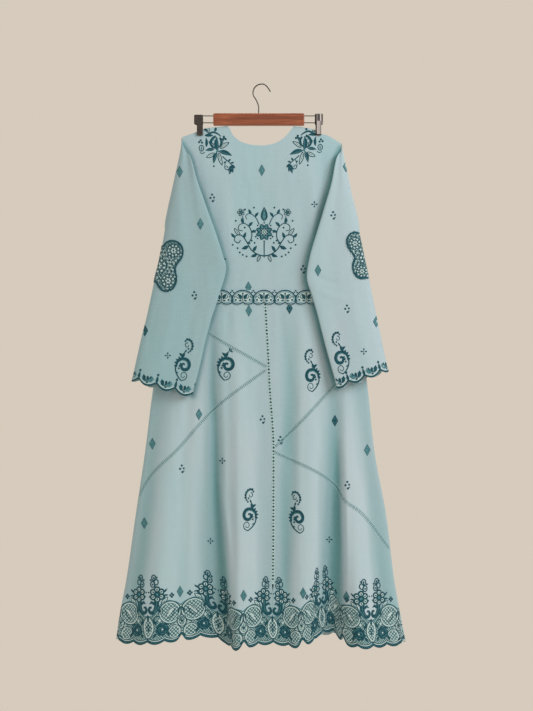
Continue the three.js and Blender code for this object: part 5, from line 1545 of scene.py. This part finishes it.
def small_motifs(P, where, drop, mirror=False, shift=(0, 0)):
    for kind, places in SMALL.items():
        for at in places.get(where, ()):
            x = 2 * MID_X - at[0] if mirror else at[0]
            P.on(drop, (x + shift[0], at[1] + shift[1]))
            if kind == "diamond":
                diamond(P, DARK if at in DARKER else MIDT)
            else:
                DRAW[kind](P)


prints = {}
P = prints["bodice_front"] = Print("print_bodice_front")
small_motifs(P, "bodice", on_front)
spray(P.on(on_front, (217.5, 151)))
spray(P.on(on_front, (304.2, 150), (-1.0, 1.0)))
posy(P.on(on_front, (264.2, 232.0)))

P = prints["skirt_front"] = Print("print_skirt_front")
small_motifs(P, "skirt", on_front)
curl(P.on(on_front, (227.3, 365)), crown=False)
curl(P.on(on_front, (311.4, 376.2), (-0.86, 1.0), 6))
curl(P.on(on_front, (248.8, 515.4), (-0.86, 1.0), 14))
curl(P.on(on_front, (298.0, 518.0), (0.86, 1.0), -17))

P = prints["hem_front"] = Print("border_hem_front")
for k in range(7):
    border(P.on(on_hem("front", k)), "front", k)
    border_edge(P, "front", k)
P = prints["hem_back"] = Print("border_hem_back")
for k in range(5):
    border(P.on(on_hem("back", k)), "back", k)
    border_edge(P, "back", k)

P = prints["band"] = Print("print_waistband")
arches(P.on(on_band(True)), -3, 7)
arches(P.on(on_band(False)), -3, 7)

P = prints["back"] = Print("print_back")
small_motifs(P, "bodice", on_back, mirror=True, shift=(0, 3))
small_motifs(P, "skirt", on_back, mirror=True, shift=(4, -6))
spray(P.on(on_back, (2 * MID_X - 217.5, 151), (-1.0, 1.0)))
spray(P.on(on_back, (2 * MID_X - 304.2, 150)))
for at, sc in (((215, 372), (-1, 1)), ((300, 368), (1, 1)), ((236, 512), (1, 1)), ((288, 515), (-1, 1)), ((181, 500), (1, 1)), ((346, 498), (-1, 1))):
    curl(P.on(on_back, at, sc))
for at in ((262, 232), (222, 236), (302, 236)):
    cross(P.on(on_back, at))

for side, drop in (("left", on_left), ("right", on_right)):
    P = prints["sleeve_" + side] = Print("print_sleeve_" + side)
    small_motifs(P, side, drop)
    behind = straight(sleeve_tree[side], False)
    if side == "left":
        curl(P.on(drop, (184.0, 365.4), (0.92, 1.0)))
    else:
        curl(P.on(drop, (340.8, 358.6), (-0.88, 1.0)))
    cf, sl = CUFF[side], SLEEVE[side]
    rim = on_cuff(side)
    P.on(rim)
    total = float(sl["s"][-1] + np.linalg.norm(sl["g"][-1, 0] - sl["g"][-1, -1])) / PX
    first, pitch = cf["first"] / PX, sl["pitch"] / PX
    count = round(total / pitch)
    xs = np.linspace(0, total, 240)
    for off, w, tone in ((0.95, 1.9, DARK), (2.35, 0.7, LIGHT)):
        n = len(xs)
        q = np.concatenate([np.stack([xs, np.full(n, off + w / 2)], -1), np.stack([xs, np.full(n, off - w / 2)], -1)])
        P.patch(q, [t for i in range(n - 1) for t in ((i, i + 1, n + i + 1), (i, n + i + 1, n + i))], tone)
    for k in range(count):
        c = first + (k + 0.5) * pitch
        e = first + k * pitch
        P.leaf((c + 0.8, 4.6), (c + 4.9, 8.8), 5.4, MIDT, bend=-0.6)
        P.leaf((c + 2.2, 6.8), (c + 3.2, 10.2), 1.9, n=4)
        P.leaf((c - 0.8, 4.6), (c - 5.1, 8.8), 5.6, bend=0.6)
        P.leaf((c - 0.4, 5.2), (c - 0.2, 10.2), 3.2)
        P.stroke([(c - 1.4, 5.6), (c - 2.0, 8.6)], 0.45, tone=LIGHT, extra=0.2)
        P.disc(c, 3.7, 1.05)
        P.disc(c - 5.6, 5.6, 0.6, MIDT)
        P.disc(c + 5.9, 5.8, 0.6, MIDT)
        P.leaf((e, 1.4), (e, 8.0), 2.7, full=0.3)
        P.disc(e, 9.1, 1.2)
    flip = 1 if side == "left" else -1
    for kind, at in (("diamond", (0, 238)), ("dots", (8, 275)), ("diamond", (-8, 318)), ("cross", (2, 350)), ("dots", (6, 205)), ("cross", (-4, 292))):
        row = 0.5 * (sl["g"][:, 0, :] + sl["g"][:, sum(RING_STEPS[:8]), :])
        z = -(at[1] - HOOK_Y) * PX
        x = float(np.interp(-z, -row[:, 2][::1], row[:, 0])) / PX + MID_X
        DRAW[kind](P.on(behind, (x + flip * at[0], at[1])))


# -- elbow lace: the sleeve's own surface moved out, cut to the outline
def inside_outline(x, z, poly):
    poly = np.asarray(poly, float)
    hit = np.zeros(x.shape, bool)
    for (xa, za), (xb, zb) in zip(poly, np.roll(poly, -1, axis=0)):
        over = (za > z) != (zb > z)
        hit ^= over & (x < (xb - xa) * (z - za) / (zb - za if zb != za else 1e-9) + xa)
    return hit


def cut_shell(name, g, n, keep, gap, thick, mats):
    """Closed thin shell of the kept cells of a grid."""
    idx = np.arange(g.shape[0] * g.shape[1]).reshape(g.shape[:2])
    quads = np.stack([idx[:-1, :-1], idx[1:, :-1], idx[1:, 1:], idx[:-1, 1:]], -1)[keep]
    edges = np.concatenate([quads[:, [k, (k + 1) % 4]] for k in range(4)])
    big = idx.size
    key = edges[:, 0] * big + edges[:, 1]
    rim = edges[~np.isin(key, edges[:, 1] * big + edges[:, 0])]
    used = np.unique(quads)
    back = np.full(big, -1)
    back[used] = np.arange(len(used))
    m = len(used)
    quads, rim = back[quads], back[rim]
    p, nn = g.reshape(-1, 3)[used], n.reshape(-1, 3)[used]
    pts = np.concatenate([p + nn * (gap + thick), p + nn * gap])
    faces = np.concatenate([quads, quads[:, ::-1] + m, np.stack([rim[:, 1], rim[:, 0], rim[:, 0] + m, rim[:, 1] + m], -1)])
    q = pts[faces]
    vol = np.einsum("ij,ij->i", q[:, 0] - p[0], np.cross(q[:, 1] - p[0], q[:, 2] - p[0])).sum() + np.einsum(
        "ij,ij->i", q[:, 0] - p[0], np.cross(q[:, 2] - p[0], q[:, 3] - p[0])).sum()
    if vol < 0:
        faces = faces[:, ::-1]
    u = np.concatenate([np.zeros((g.shape[0], 1)), np.cumsum(np.linalg.norm(np.diff(g, axis=1), axis=2), axis=1)], axis=1)
    v = np.concatenate([np.zeros((1, g.shape[1])), np.cumsum(np.linalg.norm(np.diff(g, axis=0), axis=2), axis=0)])
    uv = (np.stack([u, v], -1).reshape(-1, 2) * MM)[used]
    return make(name, pts, faces, mats, uv=np.concatenate([uv, uv]))


def finer(a, k):
    """A grid with k cells for each of its cells, on straight lines."""
    for axis in (0, 1):
        n = a.shape[axis]
        t = np.linspace(0, n - 1, (n - 1) * k + 1)
        i = np.clip(t.astype(int), 0, n - 2)
        f = (t - i).reshape([-1 if q == axis else 1 for q in range(a.ndim)])
        a = np.take(a, i, axis=axis) * (1 - f) + np.take(a, i + 1, axis=axis) * f
    return a


for side in ("left", "right"):
    g, n = SLEEVE[side]["g"], SLEEVE[side]["n"]
    nc = g.shape[1]
    cols = np.arange(nc - 24, nc + 34) % nc
    gg, nn = finer(g[52:98][:, cols], 2), finer(n[52:98][:, cols], 2)
    nn = unit(nn)
    mid = (gg[:-1, :-1] + gg[1:, 1:]) / 2
    keep = inside_outline(mid[..., 0], mid[..., 2], LACE[side])
    ob = cut_shell("cloth_elbow_lace_" + side, gg, nn, keep, 0.75, 0.7, [lace_net])
    PIECES["elbow_lace_" + side] = ob
    P = prints["lace_" + side] = Print("lace_work_" + side)
    outer = gg + nn * 1.45
    tree = surface(outer)
    eye, behind, ahead = from_eye(tree), straight(tree, False), straight(tree, True)
    line = np.array([(x / PX + MID_X, -z / PX + HOOK_Y) for x, z in LACE[side]])
    fine_line = spline(np.concatenate([line, line[:1]]), 130)
    for drop in (ahead, behind):
        P.on(drop)
        # the outline stands a little inside the cut edge
        c = fine_line.mean(axis=0)
        q = fine_line + unit(c - fine_line) * 0.9
        for a in range(0, len(q) - 3, 3):
            P.stroke(q[a:a + 4], 1.7, tone=DARK, step=0.9)
    # worked fill: petalled rounds, with pierced dots and small petals between them
    rounds = {"left": [((173.6, 250.6), 6.4), ((158.6, 265.6), 7.6), ((168.2, 280.8), 6.6)],
              "right": [((355.0, 243.4), 5.8), ((366.4, 257.6), 7.0), ((362.0, 271.4), 5.6)]}[side]
    rng = np.random.default_rng(21)
    low, high = line.min(axis=0), line.max(axis=0)
    dots_at = [(x + (2.1 if j % 2 else 0), y) for j, y in enumerate(np.arange(low[1], high[1], 3.7)) for x in np.arange(low[0], high[0], 4.2)]
    dots_at = [p for p in dots_at if inside_outline(*(np.array(v) for v in plane(*p)), LACE[side])
               and np.hypot(*(fine_line - p).T).min() > 1.9 and all(math.dist(p, c) > r + 1.0 for c, r in rounds)]
    for drop in (eye, behind):
        for at, r in rounds:
            rosette(P.on(drop, at), r)
        for p in dots_at:
            P.on(drop, p)
            P.disc(0, 0, 0.7, DARK, n=8)
            a = rng.uniform(0, 6.28)
            for t in (a, a + 2.1, a + 4.2):
                P.leaf((1.3 * math.cos(t), 1.3 * math.sin(t)), (2.9 * math.cos(t), 2.9 * math.sin(t)), 1.1, LIGHT, n=3)

made = {k: P.done() for k, P in prints.items()}

# -- openwork seams: light bars over the slot, with a cord along each side
bars = Print("ladder_seams")


def on_skirt(p):
    return on_body(*plane(p[:, 0], p[:, 1]), True)


def ladder(path, half, pitch, wide, cut=(0.0, 1.0), tone=THREAD):
    """path: x, z along the seam. Bars lie across the slot and a thin cord along each edge."""
    q = spline(path, 400)
    s = np.concatenate([[0], np.cumsum(np.linalg.norm(np.diff(q, axis=0), axis=1))])
    a0, a1 = s[-1] * cut[0], s[-1] * cut[1]
    t = np.arange(a0 + pitch / 2, a1, pitch)
    px = np.stack([q[:, 0] / PX + MID_X, HOOK_Y - q[:, 1] / PX], -1)
    bars.on(on_skirt)
    d = unit(np.gradient(px, axis=0))
    for v in t:
        i = int(np.searchsorted(s, v))
        i = min(max(i, 1), len(q) - 2)
        c, k = px[i], d[i]
        n = np.array([-k[1], k[0]])
        h, w = (half + 1.1) / PX, wide / 2 / PX
        bars.patch([c + n * h + k * w, c + n * h - k * w, c + k * w * 0.7, c - k * w * 0.7, c - n * h + k * w, c - n * h - k * w],
                   [(0, 1, 3), (0, 3, 2), (2, 3, 5), (2, 5, 4)], tone, extra=0.15)
    m = (s >= a0) & (s <= a1)
    for sg in (-1, 1):
        n = np.stack([-d[:, 1], d[:, 0]], -1)
        line = (px + n * sg * (half + 0.9) / PX)[m][::4]
        if len(line) > 3:
            bars.stroke(line, 0.5, tone=THREAD, step=1.6, extra=0.1)


ladder([(float(centre_x(z)), z) for z in np.linspace(-572, -1290, 60)], 2.4, 8.4, 5.9)
for rows in SEAMS.values():
    ladder([(x, float(pchip(rows, x))) for x in np.linspace(rows[0][0], rows[-1][0], 60)], 2.9, 4.7, 1.35, cut=(0.01, 0.985), tone=MIDT)
made["seams"] = bars.done()
for k, ob in made.items():
    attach(ob, "root")

def metal_painted_reflections(name, x0, x1, upper, lower, split, foot):
    """A bent plate in one metal, its colour in bands of light and dark along X, painted in for the reflections on its
    bends over the plate's own tones; others below split, a dark lip below foot.
    """
    m = Nodes(name)
    place = m.node("ShaderNodeTexCoord").outputs["Object"]
    part = m.node("ShaderNodeSeparateXYZ", Vector=place)
    x, z = part.outputs["X"], part.outputs["Z"]
    across = m.node("ShaderNodeMapRange", {"From Min": x0, "From Max": x1}, Value=x)

    def bands(stops):
        n = m.node("ShaderNodeValToRGB", Fac=across)
        e = n.color_ramp.elements
        e.remove(e[1])
        e[0].position, e[0].color = stops[0]
        for p, v in stops[1:]:
            e.new(p).color = v
        return n.outputs[0]
    base = m.mix(m.math("GREATER_THAN", z, split), bands(lower), bands(upper))
    base = m.mix(m.math("LESS_THAN", z, foot), base, srgb(52, 46, 48))
    spots = m.node("ShaderNodeTexNoise", {"Scale": 160.0, "Detail": 4.0, "Roughness": 0.7}, Vector=place)
    base = m.mix(m.ramp(spots, [(0.45, 0.0), (0.75, 0.35)]), base, srgb(70, 68, 68))
    m.link(base, m.bsdf.inputs["Base Color"])
    m.bsdf.inputs["Metallic"].default_value = 1.0
    m.bsdf.inputs["Roughness"].default_value = 0.34
    return m.mat


# ---- hanger: the model's own shapes with their finishes -----------------------------
wood, rubber = wood_material(), rubber_material()
EDGE = srgb(46, 38, 36)
# painted reflections: the right clip's light and dark bands across X stand for the reflections on its bent plate
steel = metal_painted_reflections("steel_painted_reflections", 0.1383, 0.1591,
                     [(0.0, EDGE), (0.13, EDGE), (0.2, srgb(150, 148, 146)), (0.38, srgb(138, 136, 136)), (0.46, srgb(74, 70, 76)),
                      (0.58, srgb(66, 62, 68)), (0.66, srgb(236, 236, 240)), (0.76, srgb(226, 226, 230)), (0.83, srgb(104, 100, 102)),
                      (0.95, srgb(88, 84, 86)), (1.0, srgb(190, 186, 184))],
                     [(0.0, EDGE), (0.2, EDGE), (0.26, srgb(222, 218, 222)), (0.5, srgb(206, 202, 210)), (0.62, srgb(200, 196, 206)),
                      (0.7, srgb(146, 142, 146)), (1.0, srgb(146, 142, 146))], -0.0955, -0.1300)
wire_steel = metal_material("wire_steel", srgb(70, 66, 64), srgb(52, 50, 50), 0.30, 0.45)
dark_steel = metal_material("dark_steel", srgb(84, 80, 80), srgb(48, 46, 46), 0.28, 0.46)
for node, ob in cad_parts.items():
    look = None
    if node == "hanger_bar":
        look = wood
    elif node in ("hanger_hook", "arm_wire_left", "arm_wire_right"):
        look = wire_steel
    elif node == "clip_right":
        look = steel
    elif node == "clip_left":
        look = dark_steel
    elif "_pad_" in node:
        look = rubber
    if look is not None:
        ob.data.materials.clear()
        ob.data.materials.append(look)

# ---- every cloth piece rides on the root and hides the model's part it stands for; its sizes are read but not used ---
AREAS = {
    "bodice_front": (0.50, 0.45, 0.195), "bodice_back": (0.50, 0.45, 0.194),
    "skirt_front_left_upper": (0.27, 0.18, 0.027), "skirt_front_left_middle": (0.34, 0.50, 0.068),
    "skirt_front_left_lower": (0.46, 0.71, 0.224), "skirt_front_right_upper": (0.25, 0.39, 0.067),
    "skirt_front_right_middle": (0.33, 0.50, 0.066), "skirt_front_right_lower": (0.42, 0.50, 0.139),
    "skirt_back": (0.84, 0.90, 0.558), "waistband": (1.03, 0.038, 0.0391),
    "sleeve_left": (0.36, 0.63, 0.181), "sleeve_right": (0.32, 0.58, 0.152),
    "elbow_lace_left": (0.15, 0.13, 0.0150), "elbow_lace_right": (0.11, 0.12, 0.0090),
}
for node, ob in PIECES.items():
    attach(ob, "root")
    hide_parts(node)
    w, l, a = AREAS[node]

# ---- camera, light and floor ---------------------------------------------------------
cam = bpy.data.cameras.new("camera")
cam.sensor_fit, cam.sensor_height, cam.lens = "VERTICAL", 24.0, 24.0 * 3000 / 1848.6
cam.clip_end = 60
cam_ob = bpy.data.objects.new("camera", cam)
cam_ob.location = EYE * MM
cam_ob.rotation_euler = (math.radians(90), 0, 0)
bpy.context.scene.collection.objects.link(cam_ob)
bpy.context.scene.camera = cam_ob


def area(name, place, aim, size, power, tone):
    l = bpy.data.lights.new(name, "AREA")
    l.shape, l.size, l.size_y, l.energy, l.color = "RECTANGLE", size[0], size[1], power, tone
    o = bpy.data.objects.new(name, l)
    o.location = place
    o.rotation_euler = (Vector(aim) - Vector(place)).to_track_quat("-Z", "Y").to_euler()
    bpy.context.scene.collection.objects.link(o)


area("key", (2.7, -2.5, 0.9), (0, 0, -0.8), (1.8, 1.8), 79, (1.0, 0.99, 0.97))
area("fill", (-2.6, -2.8, 0.4), (0, 0, -0.8), (2.2, 2.2), 10, (0.96, 0.98, 1.0))
area("back", (0.6, 2.8, 1.2), (0, 0, -0.7), (2.4, 2.4), 60, (1.0, 0.99, 0.97))

world = bpy.data.worlds.new("studio")
bpy.context.scene.world = world
world.use_nodes = True
bg = world.node_tree.nodes["Background"]
bg.inputs[0].default_value = srgb(214, 203, 188)
bg.inputs[1].default_value = 1.0

me = bpy.data.meshes.new("floor")
me.from_pydata([(-2.2, -2.2, -2.35), (2.2, -2.2, -2.35), (2.2, 2.15, -2.35), (-2.2, 2.15, -2.35)], [], [(0, 1, 2, 3)])
floor = bpy.data.objects.new("floor", me)
bpy.context.scene.collection.objects.link(floor)
fm = Nodes("floor_plaster")
place = fm.node("ShaderNodeTexCoord").outputs["Object"]
cloudy = fm.node("ShaderNodeTexNoise", {"Scale": 1.2, "Detail": 3.0}, Vector=place)
fm.link(fm.mix(cloudy, srgb(226, 216, 203), srgb(214, 204, 190)), fm.bsdf.inputs["Base Color"])
fm.bsdf.inputs["Roughness"].default_value = 0.9
me.materials.append(fm.mat)

bpy.context.scene.view_settings.view_transform = "Standard"
